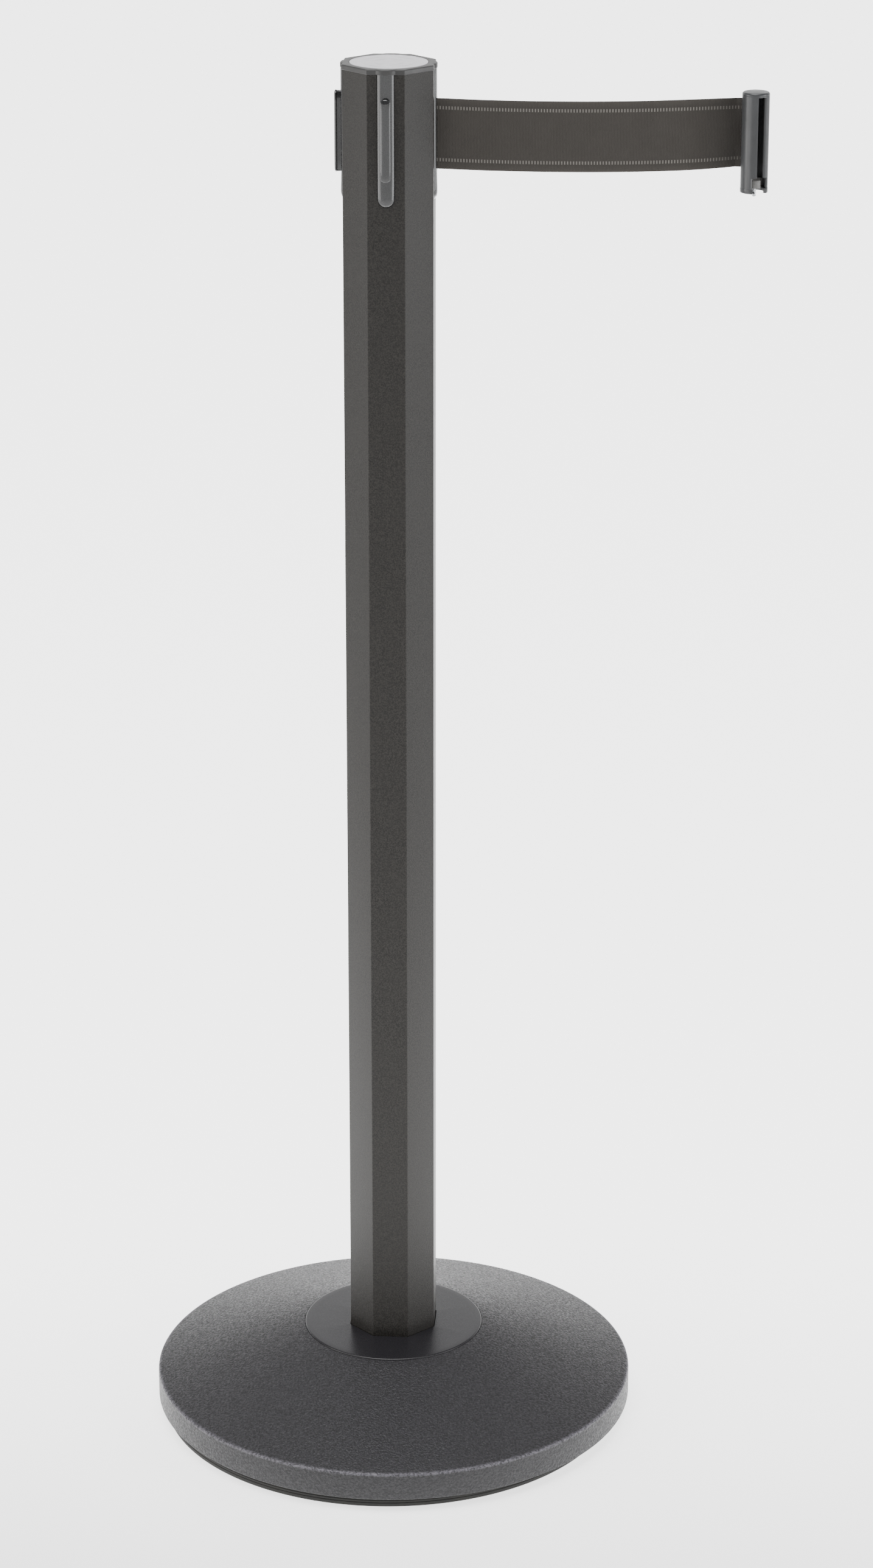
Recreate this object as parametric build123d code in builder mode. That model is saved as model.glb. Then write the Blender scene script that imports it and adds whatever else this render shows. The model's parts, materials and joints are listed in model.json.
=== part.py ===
from build123d import *
import os
from math import acos, cos, radians, sin

# Retractable belt stanchion, in millimetres. +Z is up and the origin is on the floor, on the
# post's axis. -Y is the front, and the belt leaves the post's head towards +X.

# ---- driving dimensions ----
TOTAL_H = 1016.0            # floor to the top of the cap
BASE_R = 177.8              # rim of the base
RIM_BOTTOM = 10.3           # the rubber ring lifts the casting this far
RIM_TOP = 30.9
HUB_R = 66.5                # smooth collar around the post
HUB_EDGE_Z = 65.9
HUB_TOP_Z = 66.9

POST_FLATS = 62.4           # octagon, across its flats
POST_WALL = 1.6
POST_FOOT_Z = 56.5          # the post stands in a socket in the base
POST_TOP_Z = 1012.4

SHELL_FLATS = 58.6          # cassette that holds the reel
SHELL_WALL = 1.8
SHELL_BOTTOM = 911.0
SHELL_TOP = 1003.0

STRIP_W = 11.5              # convex strips on the four main faces
STRIP_BOTTOM = 922.0
STRIP_PROUD = 1.9
RAIL_BOTTOM = 940.0
RAIL_TOP = 996.5
RAIL_W = 7.3
RAIL_PROUD = 6.5

BELT_W = 48.6
BELT_T = 0.6
BELT_Z = 967.2              # middle of the belt's width
ROLL_R = 21.2
CORE_R = 9.0
FLANGE_R = 24.8

PIN_X = 246.0               # swivel pin, where the belt ends
CLIP_R = 9.4
CLIP_BORE_R = 7.3
CLIP_BOTTOM = 931.0
CLIP_TOP = 1000.0
CLIP_TURN = -62.0           # way the clip's slot faces, in degrees from +X

OUT = "parts/"
os.makedirs("parts", exist_ok=True)

half_post = POST_FLATS / 2
half_shell = SHELL_FLATS / 2
belt_low = BELT_Z - BELT_W / 2
belt_high = BELT_Z + BELT_W / 2


def octagon(flats, mode=Mode.ADD):
    """Octagon with a flat side towards each of +X, -X, +Y and -Y."""
    RegularPolygon(flats / 2, 8, major_radius=False, rotation=22.5, mode=mode)


# =====================================================================
# Base
# =====================================================================

RING_R = 170.0
RING_W = 20.0
RING_SHIFT = -2.8           # the loose ring sits a little to the left

with BuildPart() as floor_ring:
    with BuildSketch(Plane.XY):
        with Locations((RING_SHIFT, 0)):
            Circle(RING_R)
            Circle(RING_R - RING_W, mode=Mode.SUBTRACT)
    extrude(amount=RIM_BOTTOM)
    outer_rims = floor_ring.edges().filter_by(GeomType.CIRCLE).group_by(SortBy.RADIUS)[-1]
    fillet(outer_rims, 1.5)
floor_ring.part.label = "floor_ring"
export_step(floor_ring.part, "parts/floor_ring.step")


SEAT_R = HUB_R + 0.4        # recess for the collar
SEAT_Z = 62.6
RIM_INNER_R = 147.0
BOSS_R = 34.0
BOSS_BOTTOM = 24.0
CASTING_T = 9.0
CONE_TOP_Z = 65.2
BOLT_HOLE_R = 6.5
RIB_COUNT = 6
RIB_T = 8.0
cone_slope = (CONE_TOP_Z - RIM_TOP) / (BASE_R - SEAT_R)
roof_at_rim = RIM_TOP + (BASE_R - RIM_INNER_R) * cone_slope - CASTING_T
roof_at_boss = SEAT_Z - CASTING_T

with BuildPart() as rib:
    with BuildSketch(Plane.XZ):
        with BuildLine():
            Polyline(
                (BOSS_R - 2, BOSS_BOTTOM + 2),
                (RIM_INNER_R + 2, RIM_BOTTOM + 6),
                (RIM_INNER_R + 2, roof_at_rim + 3),
                (BOSS_R - 2, roof_at_boss + 3),
                close=True,
            )
        make_face()
    extrude(amount=RIB_T / 2, both=True)

with BuildPart() as base_weight:
    with BuildSketch(Plane.XZ):
        with BuildLine():
            Polyline(
                (BOLT_HOLE_R, BOSS_BOTTOM),
                (BOSS_R, BOSS_BOTTOM),
                (BOSS_R, roof_at_boss),
                (RIM_INNER_R, roof_at_rim),
                (RIM_INNER_R, RIM_BOTTOM),
                (BASE_R, RIM_BOTTOM),
                (BASE_R, RIM_TOP),
                (SEAT_R, CONE_TOP_Z),
                (SEAT_R, SEAT_Z),
                (BOLT_HOLE_R, SEAT_Z),
                close=True,
            )
        make_face()
    revolve(axis=Axis.Z)
    with PolarLocations(0, RIB_COUNT, start_angle=30):
        add(rib.part)
    with BuildSketch(Plane.XY.offset(POST_FOOT_Z)):
        octagon(POST_FLATS + 0.6)
    extrude(amount=SEAT_Z - POST_FOOT_Z + 1, mode=Mode.SUBTRACT)
    rim_circles = base_weight.edges().filter_by(GeomType.CIRCLE).group_by(SortBy.RADIUS)[-1]
    fillet(rim_circles.sort_by(Axis.Z)[-1], 2.2)
base_weight.part.label = "base_weight"
export_step(base_weight.part, "parts/base_weight.step")


with BuildPart() as hub_collar:
    with BuildSketch(Plane.XZ):
        with BuildLine():
            Polyline(
                (0, SEAT_Z),
                (HUB_R, SEAT_Z),
                (HUB_R, HUB_EDGE_Z - 0.9),
                (HUB_R - 0.9, HUB_EDGE_Z),
                (half_post + 3, HUB_TOP_Z),
                (0, HUB_TOP_Z),
                close=True,
            )
        make_face()
    revolve(axis=Axis.Z)
    with BuildSketch(Plane.XY.offset(SEAT_Z - 1)):
        octagon(POST_FLATS + 0.5)
    extrude(amount=HUB_TOP_Z - SEAT_Z + 2, mode=Mode.SUBTRACT)
hub_collar.part.label = "hub_collar"
export_step(hub_collar.part, "parts/hub_collar.step")


INSERT_TOP = 84.0
THREAD_R = 6.0
BOLT_R = 5.9

with BuildPart() as foot_insert:
    with BuildSketch(Plane.XY.offset(POST_FOOT_Z)):
        octagon(POST_FLATS - 2 * POST_WALL - 0.2)
    extrude(amount=INSERT_TOP - POST_FOOT_Z)
    with Locations((0, 0, INSERT_TOP)):
        Hole(THREAD_R)
    top_rim = foot_insert.edges().group_by(Axis.Z)[-1].filter_by(GeomType.LINE)
    chamfer(top_rim, 1.5)
foot_insert.part.label = "foot_insert"
export_step(foot_insert.part, "parts/foot_insert.step")


WASHER_T = 2.5
LOCK_T = 3.0
HEAD_T = 7.5
HEAD_FLATS = 19.0
washer_low = BOSS_BOTTOM - WASHER_T
lock_low = washer_low - LOCK_T
head_low = lock_low - HEAD_T

with BuildPart() as base_bolt:
    with BuildSketch(Plane.XY.offset(head_low)):
        RegularPolygon(HEAD_FLATS / 2, 6, major_radius=False)
    extrude(amount=HEAD_T)
    with BuildSketch(Plane.XY.offset(lock_low)):
        Circle(BOLT_R)
    extrude(amount=INSERT_TOP - 4 - lock_low)
    chamfer(base_bolt.edges().filter_by(GeomType.CIRCLE).sort_by(Axis.Z)[-1], 1)
base_bolt.part.label = "base_bolt"
export_step(base_bolt.part, "parts/base_bolt.step")


with BuildPart() as base_washer:
    with BuildSketch(Plane.XY.offset(washer_low)):
        Circle(15)
        Circle(BOLT_HOLE_R, mode=Mode.SUBTRACT)
    extrude(amount=WASHER_T)
base_washer.part.label = "base_washer"
export_step(base_washer.part, "parts/base_washer.step")


with BuildPart() as lock_washer:
    with BuildSketch(Plane.XY.offset(lock_low)):
        Circle(10.5)
        Circle(6.3, mode=Mode.SUBTRACT)
        with Locations((8.4, 0)):
            Rectangle(8, 1.2, rotation=25, mode=Mode.SUBTRACT)
    extrude(amount=LOCK_T)
lock_washer.part.label = "lock_washer"
export_step(lock_washer.part, "parts/lock_washer.step")


# =====================================================================
# Post
# =====================================================================

SLOT_GAP = 0.2              # clearance around each strip

with BuildPart() as post_tube:
    with BuildSketch(Plane.XY.offset(POST_FOOT_Z)):
        octagon(POST_FLATS)
        octagon(POST_FLATS - 2 * POST_WALL, mode=Mode.SUBTRACT)
    extrude(amount=POST_TOP_Z - POST_FOOT_Z)
    slot_r = STRIP_W / 2 + SLOT_GAP
    slot_centre_z = STRIP_BOTTOM + STRIP_W / 2
    for wall_plane in (Plane.XZ, Plane.YZ):
        with BuildSketch(wall_plane):
            with Locations((0, slot_centre_z)):
                Circle(slot_r)
            with Locations((0, (slot_centre_z + POST_TOP_Z + 2) / 2)):
                Rectangle(2 * slot_r, POST_TOP_Z + 2 - slot_centre_z)
        extrude(amount=POST_FLATS, both=True, mode=Mode.SUBTRACT)
post_tube.part.label = "post_tube"
export_step(post_tube.part, "parts/post_tube.step")


# =====================================================================
# Receivers and belt outlet
# =====================================================================

# Each strip is drawn on the +X face, and the receivers are turned to their own faces.
TAB_W = 5.6
TAB_H = 3.6
TAB_LOW_Z = 932.0
TAB_HIGH_Z = 1000.0
STRIP_EDGE = 1.0            # how far the strip's long edges stand proud
strip_back = half_shell + 0.05
strip_front = half_post + STRIP_PROUD
strip_len = POST_TOP_Z - STRIP_BOTTOM

# Plain strip: convex across its width, with a half-round lower end.
with BuildPart() as strip:
    with BuildSketch(Plane.XY.offset(STRIP_BOTTOM)):
        with BuildLine():
            crest = ThreePointArc(
                (half_post + STRIP_EDGE, -STRIP_W / 2),
                (strip_front, 0),
                (half_post + STRIP_EDGE, STRIP_W / 2),
            )
            Polyline(crest @ 1, (strip_back, STRIP_W / 2), (strip_back, -STRIP_W / 2), crest @ 0)
        make_face()
    extrude(amount=strip_len)
    with BuildSketch(Plane.YZ.offset(strip_back - 1)):
        with Locations((0, STRIP_BOTTOM + STRIP_W / 2)):
            Circle(STRIP_W / 2)
        with Locations((0, POST_TOP_Z)):
            Rectangle(STRIP_W, strip_len - STRIP_W / 2, align=(Align.CENTER, Align.MAX))
    extrude(amount=10, mode=Mode.INTERSECT)
    crest_edges = strip.faces().sort_by(Axis.X)[-1].edges().sort_by(Axis.Z)[:-1]
    fillet(crest_edges, 0.7)

RAIL_WEB_W = 3.2
RAIL_HEAD_T = 1.8
RAIL_END_R = 4.6
RAIL_CROWN_R = 8.0
head_back = half_post + RAIL_PROUD - RAIL_HEAD_T
end_rise = RAIL_END_R - (RAIL_END_R ** 2 - (RAIL_W / 2) ** 2) ** 0.5
rail_mid_z = (RAIL_TOP + RAIL_BOTTOM) / 2

# Head of the T-rail: convex front, arched ends.
with BuildPart() as rail_head:
    with BuildSketch(Plane.YZ.offset(head_back)):
        with BuildLine():
            low = RAIL_BOTTOM + end_rise
            high = RAIL_TOP - end_rise
            left_side = Line((-RAIL_W / 2, low), (-RAIL_W / 2, high))
            right_side = Line((RAIL_W / 2, low), (RAIL_W / 2, high))
            ThreePointArc(left_side @ 1, (0, RAIL_TOP), right_side @ 1)
            ThreePointArc(left_side @ 0, (0, RAIL_BOTTOM), right_side @ 0)
        make_face()
    extrude(amount=RAIL_HEAD_T)
    with BuildSketch(Plane.XY.offset(RAIL_BOTTOM - 1)):
        with Locations((half_post + RAIL_PROUD - RAIL_CROWN_R, 0)):
            Circle(RAIL_CROWN_R)
    extrude(amount=RAIL_TOP - RAIL_BOTTOM + 2, mode=Mode.INTERSECT)


def strip_tabs():
    """Two tabs behind a strip that go through the shell's wall."""
    with BuildSketch(Plane.YZ.offset(half_shell - SHELL_WALL)) as tabs:
        with Locations((0, TAB_LOW_Z), (0, TAB_HIGH_Z)):
            Rectangle(TAB_W, TAB_H)
    extrude(tabs.sketch, amount=SHELL_WALL + 0.2)


with BuildPart() as receiver:
    add(strip.part)
    strip_tabs()
    with BuildSketch(Plane.YZ.offset(half_post + STRIP_EDGE)):
        with Locations((0, rail_mid_z)):
            Rectangle(RAIL_WEB_W, RAIL_TOP - RAIL_BOTTOM - 2)
    extrude(amount=head_back + 0.4 - half_post - STRIP_EDGE)
    add(rail_head.part)

TURNS = {"front_receiver": -90, "left_receiver": 180, "back_receiver": 90}
for receiver_name, turn in TURNS.items():
    with BuildPart() as turned_receiver:
        with Locations(Rotation(0, 0, turn)):
            add(receiver.part)
    turned_receiver.part.label = receiver_name
    export_step(turned_receiver.part, OUT + receiver_name + ".step")


GUIDE_X = 28.6
GUIDE_Y = 2.0
GUIDE_R = 1.1
OUTLET_GAP = 2.4            # width of the slot that the belt leaves by
OUTLET_H = BELT_W + 3.4
BLOCK_BACK = 26.2
BLOCK_W = 8.4
BLOCK_H = OUTLET_H + 5.2

with BuildPart() as outlet_strip:
    add(strip.part)
    strip_tabs()
    with BuildSketch(Plane.YZ.offset(BLOCK_BACK)):
        with Locations((0, BELT_Z)):
            Rectangle(BLOCK_W, BLOCK_H)
    extrude(amount=strip_back - BLOCK_BACK + 0.5)
    with BuildSketch(Plane.YZ.offset(BLOCK_BACK - 1)):
        with Locations((0, BELT_Z)):
            Rectangle(BLOCK_W - 1.6, OUTLET_H)
    extrude(amount=4.6, mode=Mode.SUBTRACT)
    with BuildSketch(Plane.YZ.offset(BLOCK_BACK)):
        with Locations((0, BELT_Z)):
            SlotOverall(OUTLET_H, OUTLET_GAP, rotation=90)
    extrude(amount=12, mode=Mode.SUBTRACT)
    with BuildSketch(Plane.XY.offset(BELT_Z)):
        with Locations((GUIDE_X, GUIDE_Y), (GUIDE_X, -GUIDE_Y)):
            Circle(GUIDE_R)
    extrude(amount=OUTLET_H / 2 + 1.6, both=True, mode=Mode.SUBTRACT)
outlet_strip.part.label = "outlet_strip"
export_step(outlet_strip.part, "parts/outlet_strip.step")


with BuildPart() as guide_pins:
    with BuildSketch(Plane.XY.offset(BELT_Z)):
        with Locations((GUIDE_X, GUIDE_Y), (GUIDE_X, -GUIDE_Y)):
            Circle(GUIDE_R)
    extrude(amount=OUTLET_H / 2 + 1.5, both=True)
guide_pins.part.label = "guide_pins"
export_step(guide_pins.part, "parts/guide_pins.step")


# =====================================================================
# Cassette: shell, lid, bushes
# =====================================================================

SHAFT_R = 4.0
BUSH_R = 6.5
BUSH_FLANGE_R = 9.0
FLOOR_T = 2.5
POCKET_BOTTOM = 905.0
POCKET_R = 9.5
floor_top = SHELL_BOTTOM + FLOOR_T
BOSS_ANGLES = (67.5, 157.5, 247.5, 337.5)
SCREW_BOSS_R = 2.0
SCREW_BOSS_AT = 27.4
PILOT_R = 0.95
CLEAR_R = 1.3
LID_T = 3.0
LID_TOP = SHELL_TOP + LID_T
boss_spots = [
    (SCREW_BOSS_AT * cos(radians(a)), SCREW_BOSS_AT * sin(radians(a))) for a in BOSS_ANGLES
]

with BuildPart() as cassette_shell:
    with BuildSketch(Plane.XY.offset(SHELL_BOTTOM)):
        octagon(SHELL_FLATS)
    extrude(amount=SHELL_TOP - SHELL_BOTTOM)
    with BuildSketch(Plane.XY.offset(floor_top)):
        octagon(SHELL_FLATS - 2 * SHELL_WALL)
    extrude(amount=SHELL_TOP - floor_top, mode=Mode.SUBTRACT)
    with BuildSketch(Plane.XY.offset(floor_top)):
        with Locations(*boss_spots):
            Circle(SCREW_BOSS_R)
    extrude(amount=SHELL_TOP - floor_top)
    with BuildSketch(Plane.XY.offset(POCKET_BOTTOM)):
        Circle(POCKET_R)
    extrude(amount=SHELL_BOTTOM - POCKET_BOTTOM)
    with BuildSketch(Plane.XY.offset(POCKET_BOTTOM + 1.5)):
        Circle(BUSH_R + 0.05)
    extrude(amount=floor_top - POCKET_BOTTOM, mode=Mode.SUBTRACT)
    with BuildSketch(Plane.XY.offset(SHELL_TOP - 12)):
        with Locations(*boss_spots):
            Circle(PILOT_R)
    extrude(amount=12, mode=Mode.SUBTRACT)
    for tab_z in (TAB_LOW_Z, TAB_HIGH_Z):
        for wall_plane in (Plane.XZ, Plane.YZ):
            with BuildSketch(wall_plane):
                with Locations((0, tab_z)):
                    Rectangle(TAB_W + 0.4, TAB_H + 0.4)
            extrude(amount=SHELL_FLATS, both=True, mode=Mode.SUBTRACT)
    with BuildSketch(Plane.YZ.offset(half_shell - 4)):
        with Locations((0, BELT_Z)):
            Rectangle(BLOCK_W + 0.4, BLOCK_H + 0.4)
    extrude(amount=8, mode=Mode.SUBTRACT)
cassette_shell.part.label = "cassette_shell"
export_step(cassette_shell.part, "parts/cassette_shell.step")


CAP_SCREW_AT = 16.0
CAP_BOSS_TOP = LID_TOP + 5

with BuildPart() as cassette_lid:
    with BuildSketch(Plane.XY.offset(SHELL_TOP)):
        octagon(SHELL_FLATS)
    extrude(amount=LID_T)
    with BuildSketch(Plane.XY.offset(LID_TOP)):
        Circle(BUSH_FLANGE_R)
    extrude(amount=3.5)
    with BuildSketch(Plane.XY.offset(LID_TOP)):
        with Locations((CAP_SCREW_AT, 0), (-CAP_SCREW_AT, 0)):
            Circle(3.4)
    extrude(amount=CAP_BOSS_TOP - LID_TOP)
    with BuildSketch(Plane.XY.offset(LID_TOP + 0.5)):
        with Locations((CAP_SCREW_AT, 0), (-CAP_SCREW_AT, 0)):
            Circle(CLEAR_R)
    extrude(amount=CAP_BOSS_TOP - LID_TOP, mode=Mode.SUBTRACT)
    with BuildSketch(Plane.XY.offset(SHELL_TOP)):
        Circle(BUSH_R + 0.05)
    extrude(amount=LID_T + 2.3, mode=Mode.SUBTRACT)
    with BuildSketch(Plane.XY.offset(SHELL_TOP)):
        with Locations(*boss_spots):
            Circle(CLEAR_R)
    extrude(amount=LID_T, mode=Mode.SUBTRACT)
cassette_lid.part.label = "cassette_lid"
export_step(cassette_lid.part, "parts/cassette_lid.step")


with BuildPart() as lid_screws:
    with BuildSketch(Plane.XY.offset(SHELL_TOP - 9)):
        with Locations(*boss_spots):
            Circle(PILOT_R - 0.05)
    extrude(amount=LID_T + 9)
    with BuildSketch(Plane.XY.offset(LID_TOP)):
        with Locations(*boss_spots):
            Circle(1.9)
    extrude(amount=1.2)
lid_screws.part.label = "lid_screws"
export_step(lid_screws.part, "parts/lid_screws.step")


with BuildPart() as lower_bush:
    with BuildSketch(Plane.XY.offset(POCKET_BOTTOM + 1.5)):
        Circle(BUSH_R)
    extrude(amount=floor_top - POCKET_BOTTOM - 1.5)
    with BuildSketch(Plane.XY.offset(floor_top)):
        Circle(BUSH_FLANGE_R)
    extrude(amount=1)
    with Locations((0, 0, floor_top + 1)):
        Hole(SHAFT_R + 0.05)
lower_bush.part.label = "lower_bush"
export_step(lower_bush.part, "parts/lower_bush.step")


with BuildPart() as upper_bush:
    with BuildSketch(Plane.XY.offset(SHELL_TOP - 1.2)):
        Circle(BUSH_FLANGE_R)
    extrude(amount=1.2)
    with BuildSketch(Plane.XY.offset(SHELL_TOP)):
        Circle(BUSH_R)
    extrude(amount=LID_T + 2)
    with Locations((0, 0, LID_TOP + 2)):
        Hole(SHAFT_R + 0.05)
upper_bush.part.label = "upper_bush"
export_step(upper_bush.part, "parts/upper_bush.step")


# =====================================================================
# Reel
# =====================================================================

FLANGE_T = 1.6
ARBOR_R = 6.0
lane_low = BELT_Z - OUTLET_H / 2
lane_high = BELT_Z + OUTLET_H / 2
hub_top = SHELL_TOP - 1.6

with BuildPart() as spool:
    for disc_z in (lane_low - FLANGE_T, lane_high):
        with BuildSketch(Plane.XY.offset(disc_z)):
            Circle(FLANGE_R)
        extrude(amount=FLANGE_T)
    with BuildSketch(Plane.XY.offset(lane_low)):
        Circle(CORE_R)
    extrude(amount=lane_high - lane_low)
    with BuildSketch(Plane.XY.offset(floor_top + 1.4)):
        Circle(ARBOR_R)
    extrude(amount=hub_top - floor_top - 1.4)
    with Locations((0, 0, hub_top)):
        Hole(SHAFT_R)
spool.part.label = "spool"
export_step(spool.part, "parts/spool.step")


with BuildPart() as spool_shaft:
    with BuildSketch(Plane.XY.offset(POCKET_BOTTOM + 2)):
        Circle(SHAFT_R)
    extrude(amount=LID_TOP + 1.6 - POCKET_BOTTOM - 2)
    chamfer(spool_shaft.edges().filter_by(GeomType.CIRCLE), 0.5)
spool_shaft.part.label = "spool_shaft"
export_step(spool_shaft.part, "parts/spool_shaft.step")


with BuildPart() as belt_roll:
    with BuildSketch(Plane.XY.offset(belt_low)):
        Circle(ROLL_R)
        Circle(CORE_R + 0.1, mode=Mode.SUBTRACT)
    extrude(amount=BELT_W)
belt_roll.part.label = "belt_roll"
export_step(belt_roll.part, "parts/belt_roll.step")


BARREL_R = 24.8
BARREL_WALL = 1.2
barrel_low = floor_top + 1.2
barrel_top = lane_low - FLANGE_T - 2.0

with BuildPart() as spring_barrel:
    with BuildSketch(Plane.XY.offset(barrel_low)):
        Circle(BARREL_R)
    extrude(amount=barrel_top - barrel_low)
    with BuildSketch(Plane.XY.offset(barrel_low + BARREL_WALL)):
        Circle(BARREL_R - BARREL_WALL)
    extrude(amount=barrel_top - barrel_low, mode=Mode.SUBTRACT)
    with Locations((0, 0, barrel_top)):
        Hole(ARBOR_R + 0.6)
spring_barrel.part.label = "spring_barrel"
export_step(spring_barrel.part, "parts/spring_barrel.step")


with BuildPart() as spring_cover:
    with BuildSketch(Plane.XY.offset(barrel_top)):
        Circle(BARREL_R)
        Circle(ARBOR_R + 0.6, mode=Mode.SUBTRACT)
    extrude(amount=1.2)
spring_cover.part.label = "spring_cover"
export_step(spring_cover.part, "parts/spring_cover.step")


SPRING_T = 0.4
SPRING_PITCH = 1.8          # distance between neighbouring turns
SPRING_START_R = 7.4
SPRING_TURNS = 8


def spiral_edge(shift):
    """Half circles whose centres take turns either side of the axis, so that each is larger."""
    for half_turn in range(2 * SPRING_TURNS):
        side = 1 if half_turn % 2 == 0 else -1
        near = SPRING_START_R + half_turn * SPRING_PITCH / 2 + shift
        far = near + SPRING_PITCH / 2
        top = (side * (near - far) / 2, side * (near + far) / 2)
        ThreePointArc((side * near, 0), top, (-side * far, 0))


with BuildPart() as power_spring:
    with BuildSketch(Plane.XY.offset(barrel_low + BARREL_WALL + 1)):
        with BuildLine():
            spiral_edge(-SPRING_T / 2)
            spiral_edge(SPRING_T / 2)
            for end_x in (SPRING_START_R, SPRING_START_R + SPRING_TURNS * SPRING_PITCH):
                Line((end_x - SPRING_T / 2, 0), (end_x + SPRING_T / 2, 0))
        make_face()
    extrude(amount=barrel_top - barrel_low - BARREL_WALL - 2)
power_spring.part.label = "power_spring"
export_step(power_spring.part, "parts/power_spring.step")


# =====================================================================
# Cap
# =====================================================================

CAP_FLATS = POST_FLATS + 0.6
BULGE_W = STRIP_W + 1.0
BULGE_PROUD = STRIP_PROUD + 0.5
DISC_R = 26.9
DISC_T = 1.1

with BuildPart() as cap:
    with BuildSketch(Plane.XY.offset(POST_TOP_Z)):
        octagon(CAP_FLATS)
        Rectangle(POST_FLATS + 2 * BULGE_PROUD, BULGE_W)
        Rectangle(BULGE_W, POST_FLATS + 2 * BULGE_PROUD)
    extrude(amount=TOTAL_H - POST_TOP_Z)
    bulge_corners = cap.edges().filter_by(Axis.Z).sort_by(
        lambda e: -(e.center().X ** 2 + e.center().Y ** 2)
    )[:8]
    fillet(bulge_corners, 1.4)
    chamfer(cap.faces().sort_by(Axis.Z)[-1].edges(), 0.8)
    with BuildSketch(Plane.XY.offset(TOTAL_H - DISC_T)):
        Circle(DISC_R + 0.2)
    extrude(amount=DISC_T, mode=Mode.SUBTRACT)
    with BuildSketch(Plane.XY.offset(LID_TOP + 1.5)):
        octagon(SHELL_FLATS)
        octagon(SHELL_FLATS - 4, mode=Mode.SUBTRACT)
        Rectangle(POST_FLATS, STRIP_W + 0.8, mode=Mode.SUBTRACT)
        Rectangle(STRIP_W + 0.8, POST_FLATS, mode=Mode.SUBTRACT)
    extrude(amount=POST_TOP_Z - LID_TOP - 1.5)
    with Locations(
        (CAP_SCREW_AT, 0, TOTAL_H - DISC_T),
        (-CAP_SCREW_AT, 0, TOTAL_H - DISC_T),
    ):
        CounterSinkHole(CLEAR_R + 0.3, 3.0)
cap.part.label = "cap"
export_step(cap.part, "parts/cap.step")


with BuildPart() as cap_screws:
    with BuildSketch(Plane.XY.offset(LID_TOP + 0.9)):
        with Locations((CAP_SCREW_AT, 0), (-CAP_SCREW_AT, 0)):
            Circle(CLEAR_R - 0.05)
    extrude(amount=TOTAL_H - DISC_T - 1.6 - LID_TOP - 0.9)
    for screw_x in (CAP_SCREW_AT, -CAP_SCREW_AT):
        with BuildSketch(Plane.XY.offset(TOTAL_H - DISC_T - 1.6)):
            with Locations((screw_x, 0)):
                Circle(CLEAR_R - 0.05)
        with BuildSketch(Plane.XY.offset(TOTAL_H - DISC_T - 0.1)):
            with Locations((screw_x, 0)):
                Circle(2.6)
        loft()
cap_screws.part.label = "cap_screws"
export_step(cap_screws.part, "parts/cap_screws.step")


with BuildPart() as top_disc:
    with BuildSketch(Plane.XY.offset(TOTAL_H - DISC_T)):
        Circle(DISC_R)
    extrude(amount=DISC_T)
    with BuildSketch(Plane.XY.offset(TOTAL_H - 0.25)):
        Circle(DISC_R * 0.8)
        Circle(DISC_R * 0.8 - 0.7, mode=Mode.SUBTRACT)
    extrude(amount=0.25, mode=Mode.SUBTRACT)
    chamfer(top_disc.edges().group_by(Axis.Z)[-1].sort_by(SortBy.RADIUS)[-1], 0.3)
top_disc.part.label = "top_disc"
export_step(top_disc.part, "parts/top_disc.step")


# =====================================================================
# Belt
# =====================================================================

BEND_X = 27.4               # where the belt turns to run straight out
LOOP_START_X = PIN_X - 9.5
LEAD_GAP = 0.35             # clearance between the wound belt and the run that leaves it
PIN_R = 1.25
LOOP_BORE_R = PIN_R + 0.08

lead_r = ROLL_R + LEAD_GAP + BELT_T / 2
lead_angle = acos(lead_r / BEND_X)
lead_x = lead_r * cos(lead_angle)
lead_y = lead_r * sin(lead_angle)

with BuildPart() as belt_run:
    with BuildSketch(Plane.XY.offset(belt_low)):
        with BuildLine():
            FilletPolyline(
                (lead_x, lead_y),
                (BEND_X, 0),
                (LOOP_START_X - 0.3, 0),
                radius=3.0,
            )
        trace(line_width=BELT_T)
    extrude(amount=BELT_W)
belt_run.part.label = "belt_run"
export_step(belt_run.part, "parts/belt_run.step")


with BuildPart() as belt_loop:
    with BuildSketch(Plane.XY.offset(belt_low)):
        with Locations((PIN_X, 0)):
            Circle(LOOP_BORE_R + BELT_T)
        with Locations(((LOOP_START_X + PIN_X) / 2, 0)):
            Rectangle(PIN_X - LOOP_START_X, 2 * BELT_T)
        with Locations((PIN_X, 0)):
            Circle(LOOP_BORE_R, mode=Mode.SUBTRACT)
    extrude(amount=BELT_W)
belt_loop.part.label = "belt_loop"
export_step(belt_loop.part, "parts/belt_loop.step")


# =====================================================================
# Clip
# =====================================================================

# The clip is drawn with its axis on the local Z and its slot towards local +X. The swivel pin
# is in the wall opposite the slot.
PIN_REACH = 7.6
clip_x = PIN_X + PIN_REACH * cos(radians(CLIP_TURN))
clip_y = PIN_REACH * sin(radians(CLIP_TURN))
slot_way = (cos(radians(CLIP_TURN)), sin(radians(CLIP_TURN)), 0)

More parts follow.
